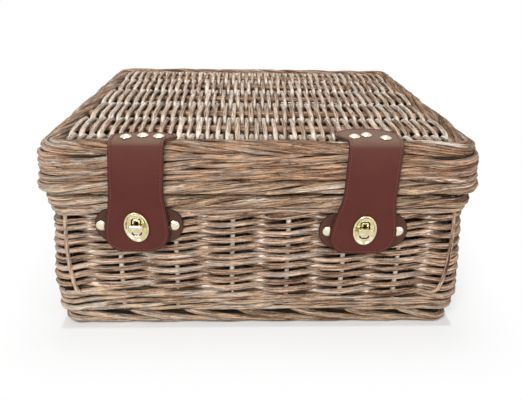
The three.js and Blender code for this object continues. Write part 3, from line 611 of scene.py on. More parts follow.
def pair_foot(s):
    """The height where the pairs start: it drops to the right along the front, and rises again behind."""
    rise = np.interp(np.mod(s, way.length), [0, 2 * HALF_FRONT, way.length], [7.0, -8.0, 7.0])
    return WEAVE_BOTTOM - 2.0 + rise


def pair_height(s, row):
    """The height of a line between rows, and the rows' pitch there. They close up towards the rim."""
    foot = pair_foot(s)
    over = PAIR_ROWS * PAIR_PITCH - (WEAVE_TOP - TOP_WALE - foot)
    share = row / PAIR_ROWS
    return foot + PAIR_PITCH * row - over * share ** 2, PAIR_PITCH - 2 * over * share / PAIR_ROWS


def pair_rod(rods, row, which, first, last):
    """One rod of a row's two, from one stake to another."""
    s = np.arange(place_of(first) - PAIR_END, place_of(last) + PAIR_END, STEP)
    n = len(s)
    number = stake_number(s)
    phase = math.pi * (number + which)
    front = 0.5 + 0.5 * np.cos(phase)
    lean = rng.normal(0, 1, COUNT * 2 + 4)[np.round(number).astype(int) % (COUNT * 2)]
    z, pitch = pair_height(s, row + 0.5)
    tight = pitch / PAIR_PITCH
    out = LINE_OUT + 0.4 + PAIR_SWING * np.cos(phase) + drift(n, 50, 0.25)
    out = out + (5.8 - 8.3 * (row + 0.5) / PAIR_ROWS) * corner_share(s)
    z = z + PAIR_RISE * tight * np.sin(phase) + drift(n, 62, 0.6) + 0.108 * lean
    radius = PAIR_RADIUS - 0.4 * (1 - front) + np.linspace(0.25, -0.3, n) + drift(n, 40, 0.18)
    rising = np.mod(number + which, 2.0)
    dash = bell(rising - 1.5, 0.09) + 0.7 * bell(rising - 0.53, 0.08)
    wash = 0.05 + drift(n, 45, 0.16)
    rods.tube(way.at(s, out, z), radius * (0.45 + 0.55 * tight), 8, flat=0.85, wash=wash,
              shade=np.clip(1.0 - 2.1 * front, 0, 1), mark=1.5 * dash * rng.uniform(0.4, 1.2))


def pair_wall():
    """Rows of two rods that cross between the stakes, one in front of each stake and one behind."""
    rods = Rods(outer_shade=True, inner=0.5, crease_shade=0.6)
    for row in range(PAIR_ROWS):
        for which in (0, 1):
            if row % 2:
                cuts = sorted(rng.choice(np.arange(which + 1, COUNT, 2), 2, replace=False))
            else:
                cuts = [int(rng.integers(0, COUNT // 2)) * 2 + which + 1]
            for first, last in zip(cuts, cuts[1:] + [cuts[0] + COUNT]):
                pair_rod(rods, row, which, first, last)
    # Filler rings between the rows, behind the rods, painted in full shade so that the gaps read dark.
    s = all_round(FILLER_STEP)
    for row in range(PAIR_ROWS + 1):
        z, pitch = pair_height(s, row)
        radius = 2.1 * pitch / PAIR_PITCH
        rods.ring(s, LINE_OUT - 4.0, z, radius, bulge=9.3 - 0.83 * row, wash=0.0, shade=1.0)
    return rods


pair_wall().piece("wall_rods", WALL_WILLOW, "basket", "willow_weave", "wall_weave")


def waling(bottom, top, rows, outs, radius, swing, lift, sag=None, crease_shade=0.8, dashes=0.0, bulge=0.0):
    """Rows of three rods, each in front of two stakes and behind one. Top may vary along the way."""
    rods = Rods(outer_shade=True, inner=0.45, crease_shade=crease_shade)
    around = all_round(FILLER_STEP)

    def middle_and_pitch(row, s):
        pitch = ((top(s) if callable(top) else top) - bottom) / rows
        return bottom + (row + 0.5) * pitch, pitch

    for row in range(rows):
        share = (row + 0.5) / rows
        face = outs[0] + (outs[1] - outs[0]) * share
        for which in range(3):
            first = 14 + which + row
            s = np.arange(place_of(first), place_of(first + COUNT + 0.4), STEP)
            n = len(s)
            z, pitch = middle_and_pitch(row, s)
            if sag is not None:
                z = z - share * sag(s)
            turn = np.mod((stake_number(s) + which + 1.5 * row) / 3.0, 1.0)
            rise = smoothed(np.interp(turn, [0, 0.36, 0.64, 1], [0, 1, -1, 0]), 7)
            forward = 0.25 + np.cos(2 * math.pi * turn)
            out = face - radius - swing + swing * np.clip(forward, -1, 1) + drift(n, 45, 0.3)
            out = out + bulge * corner_share(s)
            z = z + lift * (pitch / 2) * rise + drift(n, 42, 0.7)
            r = radius + np.linspace(0.25, -0.2, n) + drift(n, 45, 0.22)
            r = r * np.clip(0.6 + 0.055 * pitch, 0, 1)
            wash = 0.1 + drift(n, 40, 0.25)
            shade = 0.9 * (1 - np.clip(1.8 * forward + 0.1, 0, 1))
            mark = dashes * bell(turn - 0.78, 0.035)
            rods.tube(way.at(s, out, z), r, 8, wash=wash, shade=shade, mark=mark)
        # A ring behind each row, painted in full shade, darkens what shows through the gaps.
        inner = face - 2 * (radius + swing)
        rods.ring(around, inner, middle_and_pitch(row, around)[0], 3.6, bulge=bulge, wash=0.0, shade=1.0)
    return rods


wale = waling(WALE_BOTTOM, pair_foot, 3, (2.1, 2.1), 2.2, 2.8, 1.15, crease_shade=1.0, dashes=0.9, bulge=3.0)
wale.piece("wale_rods", WALE_WILLOW, "basket", "willow_weave", "upset_wale")
top_wale = waling(WEAVE_TOP - TOP_WALE - 1.0, WEAVE_TOP + 1.5, 1, (1.9, 1.9), 2.4, 2.4, 0.8)
top_wale.piece("top_wale_rods", WALL_WILLOW, "basket", "willow_weave")


def rope(centre, reach, strands, turns, radius, core, bulge):
    """A rolled border: strands run round a bundle at a low slope. Negative turns slope the other way.
    Centre and reach are each (outward, upward)."""
    rods = Rods(outer_shade=True, crease_shade=0.8)
    for strand in range(strands):
        s = all_round(STEP) + rng.uniform(0, way.length)
        n = len(s)
        fade = np.minimum(1, np.minimum(np.arange(n), n - 1 - np.arange(n)) / 10)
        angle = 2 * math.pi * (turns * s / way.length + strand / strands) + drift(n, 45, 0.22) * fade
        dive = 1 + (drift(n, 38, 0.13) - 0.05) * fade
        out = centre[0] + reach[0] * np.cos(angle) * dive + bulge * corner_share(s)
        z = centre[1] + reach[1] * np.sin(angle) * dive
        r = radius * (1 + (rng.uniform(-0.14, 0.16) + drift(n, 60, 0.07)) * fade)
        wash = 0.12 + drift(n, 40, 0.3) * fade
        shade = 0.85 * (0.5 - 0.5 * np.cos(angle)) ** 1.4
        rods.tube(way.at(s, out, z), np.minimum(r, radius * 1.3), 8, wash=wash, shade=shade, closed=True)
    # The bundle that the strands wind round carries painted shade.
    rods.ring(all_round(CORE_STEP), centre[0], centre[1], core, bulge=bulge, shade=0.9, tint=0.2)
    return rods


RIM_CENTRE = (-4.0, (RIM_BOTTOM + RIM_TOP) / 2)
rim = rope(RIM_CENTRE, (5.5, 5.4), strands=9, turns=6, radius=2.3, core=4.9, bulge=1.5)
# A second core rod near the border's top, painted in shade.
rim.ring(all_round(CORE_STEP), RIM_CENTRE[0], RIM_TOP - 3.2, 2.9, shade=0.9, tint=0.2)
rim.piece("rim_rods", BORDER_WILLOW, "basket", "willow_border", "rim_border")

# Points of a foot rod: (stakes along, height, out)
FOOT_PATH = np.array([
    (0.0, 22.0, -5.0), (0.12, 18.5, -3.2), (0.35, 13.0, -2.6), (0.7, 8.9, -3.6), (1.1, 6.6, -4.2),
    (1.6, 4.6, -4.2), (2.1, 3.3, -5.2), (2.6, 3.2, -9.0), (3.0, 4.0, -13.0)])
FOOT_BUNDLE = ((-9.5, 5.0), (-11.5, 9.5), (-12.5, 15.5), (-14.0, 4.5))  # (out, height)


def foot():
    """Each stake turns right below the wale, crosses its neighbour and joins the bundle on the floor."""
    rods = Rods(crease_shade=0.8)
    marks, levels, outs = FOOT_PATH.T
    n = 42
    t = np.linspace(0, marks[-1], n)
    for number in range(COUNT):
        for twin in (0, 1):
            z = smoothed(np.interp(t, marks, levels), 5) + drift(n, 40, 0.5) - twin * np.clip(t, 0, 1)
            z = np.maximum(z, 3.0)
            s = place_of(number + 0.1 * twin) + t * SPACING
            out = smoothed(np.interp(t, marks, outs), 5) - 2.2 * twin
            out = out + np.interp(z, [5, 14], [1.2, 4.0]) * corner_share(s)
            radius = np.interp(t, [0, 2, 3], [2.7, 2.5, 2.1]) - 0.2 * twin
            shade = np.interp(t, [0, 0.1, 2.0, 3], [0.3, 0.0, 0.2, 0.8])
            rods.tube(way.at(s, out, z), radius, 8, wash=0.25 + drift(n, 60, 0.25), shade=shade)
    # The bundle rods are painted in near-full shade, so the windows between the strands read dark.
    for out, z in FOOT_BUNDLE:
        rods.ring(all_round(6.0), out, z, 3.4, 7, wash=0.0, shade=0.97)
    return rods


foot().piece("foot_rods", BORDER_WILLOW, "basket", "willow_border", "foot_border")

# Upright rods


def upright(name, s):
    """A stake or a corner post, on the line where the CAD has it."""
    n = 24
    post = name.startswith("corner")
    beside = name.split("_")[1] in SIDES
    out = LINE_OUT + 1.2 + drift(n, 40, 0.12)
    place = s + drift(n, 40, 0.5)
    radius = (3.0 if post else 2.35) + drift(n, 30, 0.1)
    path = way.at(place, out, np.linspace(*heights(name), n))
    rods = Rods()
    # Corner posts carry painted shade.
    rods.tube(path, radius, 9, up=(1, 0, 0) if beside else UPRIGHT,
              wash=0.2 if post else 1.3, tint=0.9, shade=0.75 if post else 0.0)
    short = name.replace("stake_", "").replace("corner_post_", "corner_")
    rods.piece("rod_" + short, LID_WILLOW, "basket", "willow_stake", name)


for name, s in UPRIGHTS:
    upright(name, s)

# Points of a cover rod: (from the corner's end along the face, out, height)
COVER_PATH = np.array([
    (-1.6, -1.5, 136), (-1.8, 0.7, 128), (-2.6, 0.8, 106), (-2.2, 0.9, 84), (-0.6, 1.0, 58),
    (0.8, 1.0, 48), (4.0, 1.0, 42), (9.5, 0.5, 39.5), (17.0, -3.0, 38.5)])
COVER_LEAN = 2.5  # how far the right one's head leans off the corner


def cover_rods():
    """A thin rod outside the weave beside each corner, on the front and the back face."""
    rods = Rods()
    n = 26
    aside, outs, levels = COVER_PATH.T
    for face in (0, 2):
        for end, sign, lean in ((0, 1, 0.0), (1, -1, COVER_LEAN)):
            places = way.legs[2 * face + end][0] + sign * (aside - lean * (levels - 38) / 98)
            t = np.linspace(0, len(levels) - 1, n)
            line = [np.interp(t, np.arange(len(levels)), values) for values in (places, outs, levels)]
            s, out, z = (np.concatenate([v[:1], smoothed(v, 5)[1:-1], v[-1:]]) for v in line)
            out = out + np.interp(z, [45, 130], [5.8, -2.3]) * corner_share(s)
            rods.tube(way.at(s, out, z), 1.9 + drift(n, 30, 0.1), 8, up=(0, -1, 0), wash=0.4, tint=0.0)
    return rods


cover_rods().piece("corner_cover_rods", WALE_WILLOW, "basket", "willow_stake")

# The base and the lid's panel

PANEL_STEP = 2.6
STICK_STEP = 6.0


def panel_sticks(level, ys, radius, apart, reach, shade):
    """Pairs of sticks from side to side."""
    rods = Rods(crease_shade=0.5)
    for y in ys:
        for side in (-apart, apart):
            x = np.arange(-reach - 3, reach + 4, STICK_STEP)
            n = len(x)
            place = y + side + drift(n, 60, 0.25, STICK_STEP) + SHIFT_Y
            path = np.stack([x, place, level + drift(n, 60, 0.2, STICK_STEP)], 1)
            thickness = radius + drift(n, 50, 0.1, STICK_STEP)
            rods.tube(path, thickness, 8, wash=0.0, tint=rng.uniform(0, 0.5), shade=shade)
    return rods


def panel_weave(level, ys, stick, reach, count, radius, flat_top, shade=0.0):
    """Weavers that run front to back, over and under the sticks. Ys has one more place at each end."""
    rods = Rods(mark_at=1.0)
    reach_x, reach_y = reach
    y = np.arange(-reach_y, reach_y + 0.1, PANEL_STEP)
    n = len(y)
    number = np.interp(y, ys, np.arange(len(ys)) - 1)
    for i in range(count):
        middle = -reach_x + (i + 0.5) * 2 * reach_x / count + rng.normal(0, 0.25)
        c = np.cos(math.pi * (number + i))
        lift = np.convolve(np.pad(np.sign(c) * np.abs(c) ** flat_top, 1, "edge"), [0.25, 0.5, 0.25], "valid")
        swing = stick + radius * 0.95 + rng.normal(0, 0.15)
        z = level + swing * np.where(lift < 0, 0.85, 0.95) * lift
        x = middle + drift(n, 55, 0.55, PANEL_STEP)
        r = radius * (1 + rng.uniform(-0.14, 0.14)) + drift(n, 40, 0.08, PANEL_STEP)
        wash = 0.08 + drift(n, 30, 0.25, PANEL_STEP) + rng.uniform(-0.1, 0.22)
        mark = np.where(np.gradient(c) < 0, 1.5 * bell(c - 0.15, 0.35), 1.3 * bell(c + 0.03, 0.25))
        mark = mark * (0.9 + drift(n, 30, 0.3, PANEL_STEP))
        # Painted shade where the weaver dips under a stick.
        under = np.clip(-1.6 * lift - 0.7, 0, 1) * 0.95
        path = np.stack([x, y + SHIFT_Y, z], 1)
        rods.tube(path, r, 8, wash=wash, shade=np.maximum(shade, under), mark=mark)
    return rods


BASE_LEVEL = (BASE_BOTTOM + BASE_TOP) / 2
BASE_STICKS = [-121, -73, -24, 24, 73, 121]
# The base's sticks and weavers carry painted shade.
base_sticks = panel_sticks(BASE_LEVEL, BASE_STICKS, 2.2, 2.2, 184, 0.5)
base_sticks.piece("base_sticks", STICK_WILLOW, "basket", "willow_stake")
base_weave = panel_weave(BASE_LEVEL, [-169] + BASE_STICKS + [169], 2.2, (184, 156), 84, 2.45, 0.6, 0.5)
base_weave.piece("base_weavers", LID_WILLOW, "basket", "willow_weave", "base_panel")

# The lid

LID_RIM_OUT = -0.5
LID_RIM_Z = (LID_RIM_BOTTOM + LID_RIM_TOP) / 2
lid_rim = rope((LID_RIM_OUT, LID_RIM_Z), (5.1, 5.0), strands=9, turns=6, radius=2.2, core=4.6, bulge=4.3)
# A second core rod near the border's bottom, painted in shade.
lid_rim.ring(all_round(CORE_STEP), LID_RIM_OUT - 1.0, LID_RIM_BOTTOM + 3.0, 2.9, shade=0.9, tint=0.2)
lid_rim.piece("lid_rim_rods", BORDER_WILLOW, "lid", "willow_border", "lid_rim_border")


def lid_wall_sag(s):
    """The wall's top row sags below the border near the front corners."""
    x = np.mod(s, way.length) - HALF_FRONT
    return 4.0 * bell(x + 158, 26) + 4.0 * bell(x - 172, 14)


lid_wall = waling(LID_WALL_BOTTOM - 0.5, LID_WALL_TOP + 3.5, 4, (4.9, 3.1), 2.5, 2.8, 1.15,
                  sag=lid_wall_sag, crease_shade=0.55, dashes=1.2, bulge=4.3)
lid_wall.piece("lid_wall_rods", WARM_WILLOW, "lid", "willow_weave", "lid_wall")

EDGE_CENTRE = (-6.3, (LID_EDGE_BOTTOM + LID_TOP) / 2)
lid_edge = rope(EDGE_CENTRE, (6.0, 4.9), strands=10, turns=-6, radius=2.35, core=4.7, bulge=1.5)
lid_edge.piece("lid_edge_rods", WARM_WILLOW, "lid", "willow_border", "lid_top_border")


def lid_stakes():
    """Two uprights in the lid's wall over each of the body's stakes."""
    rods = Rods()
    n = 12
    z = np.linspace(LID_WALL_BOTTOM - 4, LID_EDGE_BOTTOM + 6, n)
    out = np.interp(z, [LID_WALL_BOTTOM, LID_WALL_TOP, LID_TOP], [-2.4, -3.4, -5.0])
    for number in range(COUNT):
        for twin in (-2.6, 2.6):
            s = np.full(n, place_of(number) + twin)
            rods.tube(way.at(s, out, z), 2.3, 8, up=UPRIGHT, wash=0.6, shade=0.35)
    return rods


lid_stakes().piece("lid_stakes", LID_WILLOW, "lid", "willow_stake")

LID_LEVEL = 193.0
LID_STICKS = [-109.0, -54.0, 12.0, 76.0, 129.0]
lid_sticks = panel_sticks(LID_LEVEL, LID_STICKS, 2.75, 2.8, 183.7, 0.0)
lid_sticks.piece("lid_sticks", STICK_WILLOW, "lid", "willow_stake")
lid_marks = [LID_STICKS[0] - 56] + LID_STICKS + [LID_STICKS[-1] + 50]
lid_weave = panel_weave(LID_LEVEL, lid_marks, 2.75, (183.7, 158), 79, 2.4, 0.36)
lid_weave.piece("lid_weavers", LID_WILLOW, "lid", "willow_weave", "lid_panel")

# Leather


def front_y(out):
    return SHIFT_Y - BODY_DEPTH / 2 - out


def smooth_line(points, spread, step=0.25):
    """Dense points along a polyline of (out, z), with its corners rounded."""
    points = np.asarray(points, float)
    lengths = run_lengths(points)
    t = np.append(np.arange(0, lengths[-1], step), lengths[-1])
    line = np.stack([np.interp(t, lengths, points[:, i]) for i in (0, 1)], 1)
    reach = int(3 * spread / step)
    kernel = np.exp(-0.5 * (np.arange(-reach, reach + 1) * step / spread) ** 2)
    kernel /= kernel.sum()
    before = line[0] + (line[0] - line[1]) * np.arange(reach, 0, -1)[:, None]
    after = line[-1] + (line[-1] - line[-2]) * np.arange(1, reach + 1)[:, None]
    padded = np.concatenate([before, line, after])
    return np.stack([np.convolve(padded[:, i], kernel, "valid") for i in (0, 1)], 1)


def edge_distance(u, t, outline):
    """Distance from flat points to a closed outline."""
    best = np.full(u.shape, 1e9)
    for (ax, ay), (bx, by) in zip(outline, np.roll(outline, -1, 0)):
        dx, dy = bx - ax, by - ay
        length = dx * dx + dy * dy
        if length > 1e-12:
            k = np.clip(((u - ax) * dx + (t - ay) * dy) / length, 0, 1)
            best = np.minimum(best, np.hypot(u - ax - k * dx, t - ay - k * dy))
    return best


def rounded_end(rest, half, rounding):
    """Half the width so far from the end of a piece with round corners."""
    return half - rounding + np.sqrt(rounding ** 2 - np.clip(rounding - rest, 0, rounding) ** 2)


# How far in from a cut edge the mesh has its lines
EDGE_STEPS = np.array([0, 0.1, 0.3, 0.65, 1.1, 1.7, 2.3, 2.65, 3.0, 3.35, 3.7, 4.6, 6.0])
STITCH_INSET = 2.8
SLOT_CUT_WIDTH, SLOT_CUT_HEIGHT = 11.4, 20.0
SLOT_STEPS = 2  # the mesh's columns to each side of the middle that the slot takes
EDGE_ROUNDING = 1.1

# Points along a stitch: (share of its length, lift, radius)
STITCH = np.array([
    (-0.5, -0.35, 0.25), (-0.36, 0.2, 0.42), (-0.12, 0.42, 0.46),
    (0.12, 0.42, 0.46), (0.36, 0.2, 0.42), (0.5, -0.35, 0.25)])
STITCH_PITCH, STITCH_LENGTH = 3.1, 2.2


class Hide:
    """A cut piece of leather that follows a line in Y and Z, with rounded edges and a sewn groove."""

    def __init__(self, line, centre, half, thickness):
        self.line = line
        self.t = run_lengths(line)
        self.centre, self.half = centre, half
        self.thickness = thickness
        tangent = unit(np.gradient(line, axis=0))
        self.normal = np.stack([-tangent[:, 1], tangent[:, 0]], 1)
        sides = np.stack([half, self.t], 1)[::3]
        self.outline = np.concatenate([sides, (sides * (-1, 1))[::-1]])

    def at(self, u, t, lift):
        """A point at u across and t along the flat piece, lifted from its middle layer."""
        out, z, n_out, n_z, x = (np.interp(t, self.t, v) for v in (
            self.line[:, 0], self.line[:, 1], self.normal[:, 0], self.normal[:, 1], self.centre))
        return np.stack([x + u, front_y(out + n_out * lift), z + n_z * lift], -1)

    def columns(self, rows):
        """How far across each point of each row lies, closer together at the edges."""
        found = []
        for w in np.interp(rows, self.t, self.half):
            inner = min(SLOT_CUT_WIDTH / 2, 0.3 * w)
            reach = EDGE_STEPS * min(1.0, max(0.0, (w - inner) / 9))
            filled = np.linspace(inner, w - reach[-1], 6)[1:-1]
            right = np.concatenate([w - reach, filled[::-1], [inner, inner / 2]])
            found.append(np.concatenate([right, [0], -right[::-1]]))
        return np.array(found)

    def piece(self, name, material, rows, slot_middle=None, wear_and_sheen=0.0, groove=0.35, wave=0.12):
        u = self.columns(rows)
        t = np.repeat(rows[:, None], u.shape[1], 1)
        gap = edge_distance(u, t, self.outline)
        gap[0] = gap[-1] = 0
        gap[:, 0] = gap[:, -1] = 0
        body = np.sqrt(1 - (1 - np.clip(gap / EDGE_ROUNDING, 0, 1)) ** 2)
        places = np.linspace(rows[0], rows[-1], 12)
        waves = np.interp(rows, places, rng.normal(0, wave, 12))[:, None] * body
        sewn = groove * bell(gap - STITCH_INSET, 0.45) + 0.12 * bell(gap - 1.5, 0.4)
        lift = self.thickness / 2 * body
        layers = [self.at(u, t, lift + waves - sewn * body), self.at(u, t, waves - lift)]
        keep = np.ones((u.shape[0] - 1, u.shape[1] - 1), bool)
        rim = []
        if slot_middle is not None:
            rim = self.cut_slot(rows, u, layers, keep, slot_middle)
        wear_and_sheen = np.broadcast_to(wear_and_sheen, len(rows))
        bm = bmesh.new()
        place = bm.verts.layers.float_vector.new("hide_place")
        edge = bm.verts.layers.float_vector.new("hide_edge")
        grids = []
        for back, points in enumerate(layers):
            grid = {}
            for r, c in np.ndindex(u.shape):
                v = bm.verts.new(points[r, c] * MM)
                v[place] = (u[r, c], t[r, c], 20.0 * back)
                v[edge] = (gap[r, c], back, wear_and_sheen[r])
                grid[r, c] = v
            grids.append(grid)
        for grid, turn in zip(grids, (1, -1)):
            for r, c in np.argwhere(keep):
                quad = [grid[r, c], grid[r, c + 1], grid[r + 1, c + 1], grid[r + 1, c]]
                bm.faces.new(quad[::turn])
        for one, other in zip(rim, rim[1:] + rim[:1]):
            bm.faces.new([grids[0][one], grids[0][other], grids[1][other], grids[1][one]])
        bmesh.ops.remove_doubles(bm, verts=bm.verts, dist=2e-6)
        bmesh.ops.dissolve_degenerate(bm, edges=bm.edges, dist=1e-6)
        return made(name, bm, material)

    def cut_slot(self, rows, u, layers, keep, middle):
        """Leaves out the slot's faces, rounds its ends, and returns the points round it in order."""
        across, up = SLOT_CUT_WIDTH / 2, SLOT_CUT_HEIGHT / 2
        inside = np.where((rows[:-1] > middle - up - 1e-6) & (rows[1:] < middle + up + 1e-6))[0]
        first, last = inside[0], inside[-1] + 1
        left, right = u.shape[1] // 2 - SLOT_STEPS, u.shape[1] // 2 + SLOT_STEPS
        keep[first:last, left:right] = False
        for r, sign in ((first, 1), (last, -1)):
            for c in range(left, right + 1):
                curve = across - math.sqrt(max(0, across ** 2 - u[r, c] ** 2))
                t = rows[r] + sign * curve * 0.999
                for points, lift in zip(layers, (self.thickness / 2, -self.thickness / 2)):
                    points[r, c] = self.at(u[r, c], t, lift)
        rim = [(first, c) for c in range(left, right)] + [(r, right) for r in range(first, last)]
        rim += [(last, c) for c in range(right, left, -1)]
        return rim + [(r, left) for r in range(last, first, -1)]

    def stitches(self, name, material):
        """Small raised stitches in the groove, all the way round."""
        edges = np.roll(self.outline, -1, 0) - np.roll(self.outline, 1, 0)
        inner = self.outline + unit(np.stack([-edges[:, 1], edges[:, 0]], 1)) * STITCH_INSET
        gap = edge_distance(inner[:, 0], inner[:, 1], self.outline)
        inner = inner[gap > STITCH_INSET - 0.15]
        inner = np.concatenate([inner, inner[:1]])
        along = run_lengths(inner)
        count = int(along[-1] / STITCH_PITCH)
        thread = Rods()
        share, lift, radius = STITCH.T
        for i in range(count):
            s = (i + 0.5) * along[-1] / count + STITCH_LENGTH * share * rng.uniform(0.93, 1.05)
            u, t = (np.interp(s, along, inner[:, j]) for j in (0, 1))
            path = self.at(u, t, self.thickness / 2 - 0.35 + lift)
            thread.tube(path, radius, 6, up=(0.1, -0.7, 0.7), knots=False)
        return thread.mesh(name, material)


# Each side's strap, lock and tab. fold_x is the strap's middle at the fold, lock the lock's X and Z,
# end_z the tail's end, depth how far the strap reaches onto the lid, shift how far that end leans aside,
# end_half half of the tail's widest part, tilt the oval plate's lean in degrees, rounding how softly the
# leather bends, and tab how far the tab's middle lies beside the lock, with half of the tab's width.
STRAPS = {
    "left": dict(fold_x=-112.5, lock=(-116.0, 119.0), end_z=91.0, depth=24.0, shift=5.0, end_half=30.0,
                 tilt=10.0, rounding=2.2, tab=(1.4, 41.4)),
    "right": dict(fold_x=103.6, lock=(98.5, 115.5), end_z=88.0, depth=38.0, shift=-5.0, end_half=31.75,
                  tilt=-2.0, rounding=3.4, tab=(0.0, 43.0)),
}
TAB_ROUNDING = 18.5
TAB_OUT = 2.5
FOLD_Z = 201.6
STRAP_HALF, ANCHOR_HALF, END_ROUNDING, FLARE = 25.0, 30.5, 19.0, 46.0


def strap_shape(side):
    """The strap before it is bent: its leather, how far its end lies along it, and where the slot does."""
    sizes = STRAPS[side]
    lock_x, lock_z = sizes["lock"]
    fold_x, depth, end_half = sizes["fold_x"], sizes["depth"], sizes["end_half"]
    line = smooth_line([
        (2 - depth, FOLD_Z), (2.6, FOLD_Z), (4.6, 194.5), (8.65, 163), (8.75, 149.5), (7.1, lock_z + 17),
        (7.0, sizes["end_z"])], sizes["rounding"])
    t = run_lengths(line)
    z = line[:, 1]
    side_t = depth - 0.3
    curve = 0.55 * side_t
    behind = s_curve((side_t - t) / (side_t - curve))
    half = STRAP_HALF + (ANCHOR_HALF - STRAP_HALF) * behind
    half = half * np.sqrt(1 - np.clip((curve - t) / curve, 0, 1) ** 2)
    centre = fold_x + (lock_x - fold_x) * (FOLD_Z - z) / (FOLD_Z - lock_z) + sizes["shift"] * behind
    rest = t[-1] - t
    flare = STRAP_HALF + (end_half - STRAP_HALF) * s_curve(1 - (rest - END_ROUNDING) / FLARE)
    half = np.where(rest < END_ROUNDING + FLARE + 5, flare, half)
    half = np.where(rest < END_ROUNDING, rounded_end(rest, end_half, END_ROUNDING), half)
    return Hide(line, centre, half, 2.4), side_t, curve, np.interp(-lock_z, -z, t)


def strap(side):
    shape, side_t, curve, slot_t = strap_shape(side)
    length = shape.t[-1]
    low, high = slot_t - SLOT_CUT_HEIGHT / 2, slot_t + SLOT_CUT_HEIGHT / 2
    rows = np.concatenate([
        [0, 0.08, 0.25, 0.5, 0.8], np.arange(1.2, curve + 4, 0.6), np.arange(curve + 4.8, side_t + 14, 0.9),
        np.arange(side_t + 15.5, low - 1.4, 1.7), np.linspace(low, high, 13),
        np.arange(high + 0.8, length - 1.2, 0.6), length - np.array([1.1, 0.65, 0.3, 0.1, 0])])
    # Wear and a painted sheen on the fold, and a faint painted lightening that fades down the strap below
    # it.
    fold_wear_and_sheen = s_curve((side_t + 7.0 - rows) / 8.0)
    wear_and_sheen = np.maximum(fold_wear_and_sheen, 0.14 * s_curve(1 - (rows - side_t - 5.0) / 34.0))
    hide_piece = shape.piece(f"strap_{side}_leather", STRAP_LEATHER, rows, slot_t, wear_and_sheen)
    thread = shape.stitches(f"strap_{side}_stitches", THREAD)
    for piece in (hide_piece, thread):
        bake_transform(piece)
    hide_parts(f"strap_anchor_{side}", f"strap_tail_{side}")


def catch_tab(side):
    low, high = node_box(f"catch_tab_{side}")
    reach = front_y(0) - low[1] - 1.0
    line = smooth_line([(max(reach, TAB_OUT), high[2]), (TAB_OUT, high[2] - 8.0), (TAB_OUT, low[2])], 2.0)
    t = run_lengths(line)
    shift, tab_half = STRAPS[side]["tab"]
    half = rounded_end(np.minimum(t, t[-1] - t), tab_half, TAB_ROUNDING)
    tab = Hide(line, np.full(len(t), STRAPS[side]["lock"][0] + shift), half, 2.0)
    ends = np.array([0, 0.1, 0.3, 0.65])
    rows = np.concatenate([ends, np.arange(1.1, t[-1] - 1.0, 0.9), t[-1] - np.append(0.9, ends[::-1])])
    piece = tab.piece(f"tab_{side}_leather", TAB_LEATHER, rows, groove=0.12, wave=0.1)
    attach(piece, "basket")
    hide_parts(f"catch_tab_{side}")

# Brass


def shell(name, rings, material, closed=True):
    """Joins rings of equally many points, each to the next and the last to the first."""
    bm = bmesh.new()
    rows = [[bm.verts.new(np.asarray(p) * MM) for p in ring] for ring in rings]
    for a, b in zip(rows, rows[1:] + (rows[:1] if closed else [])):
        for i in range(len(a)):
            j = (i + 1) % len(a)
            bm.faces.new([a[i], a[j], b[j], b[i]])
    if not closed:
        for row in (rows[0], rows[-1]):
            bm.faces.new(row)
    bmesh.ops.remove_doubles(bm, verts=bm.verts, dist=1e-6)
    return made(name, bm, material)


RIVET_HEAD, RIVET_CROWN, RIVET_STEM = 5.25, 2.4, 2.0
TINY = 0.001  # the radius of a ring that closes to a point


def dome(name, place, normal, shank, body, node):
    """A domed brass rivet with a thin lip, its head's underside at its place."""
    ball = (RIVET_HEAD ** 2 + RIVET_CROWN ** 2) / (2 * RIVET_CROWN)
    edge = math.asin(min(1, RIVET_HEAD / ball))
    profile = [
        (TINY, -shank), (RIVET_STEM, -shank), (RIVET_STEM, 0),
        (RIVET_HEAD - 0.35, 0), (RIVET_HEAD - 0.05, 0.12), (RIVET_HEAD, 0.35)]
    for i in range(1, 10):
        angle = edge * (1 - i / 9.5) * 0.97
        profile.append((ball * math.sin(angle), ball * math.cos(angle) + RIVET_CROWN - ball))
    profile.append((TINY, RIVET_CROWN))
    turn = Vector((0, 0, 1)).rotation_difference(Vector(normal)).to_matrix()
    angles = np.arange(36) * 2 * math.pi / 36
    rings = []
    for r, h in profile:
        rings.append([Vector(place) + turn @ Vector((r * math.cos(a), r * math.sin(a), h)) for a in angles])
    piece = shell(name, rings, PALE_BRASS, closed=False)
    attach(piece, body)
    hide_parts(node)


ANGLES = np.arange(72) * 2 * math.pi / 72


def rounded(width, height, rounding):
    """How far a rounded rectangle's edge is from its middle in each direction."""
    c, s = np.abs(np.cos(ANGLES)), np.abs(np.sin(ANGLES))
    w, h = width / 2, height / 2
    low, high = np.zeros(len(ANGLES)), np.full(len(ANGLES), math.hypot(w, h))
    for _ in range(40):
        r = (low + high) / 2
        x, y = c * r, s * r
        past = np.hypot(np.maximum(x - (w - rounding), 0), np.maximum(y - (h - rounding), 0))
        inside = (x <= w) & (y <= h) & (past <= rounding)
        low, high = np.where(inside, r, low), np.where(inside, high, r)
    return low


def oval(width, height, tilt=0.0):
    """The same for an oval."""
    a = ANGLES - math.radians(tilt)
    return 1 / np.hypot(np.cos(a) / (width / 2), np.sin(a) / (height / 2))


def face_rings(x, z, levels):
    """Rings in front of the wall from (reach in each direction, out) pairs."""
    rings = []
    for reach, out in levels:
        line = [x + reach * np.cos(ANGLES), np.full(len(ANGLES), front_y(out)), z + reach * np.sin(ANGLES)]
        rings.append(np.stack(line, 1))
    return rings


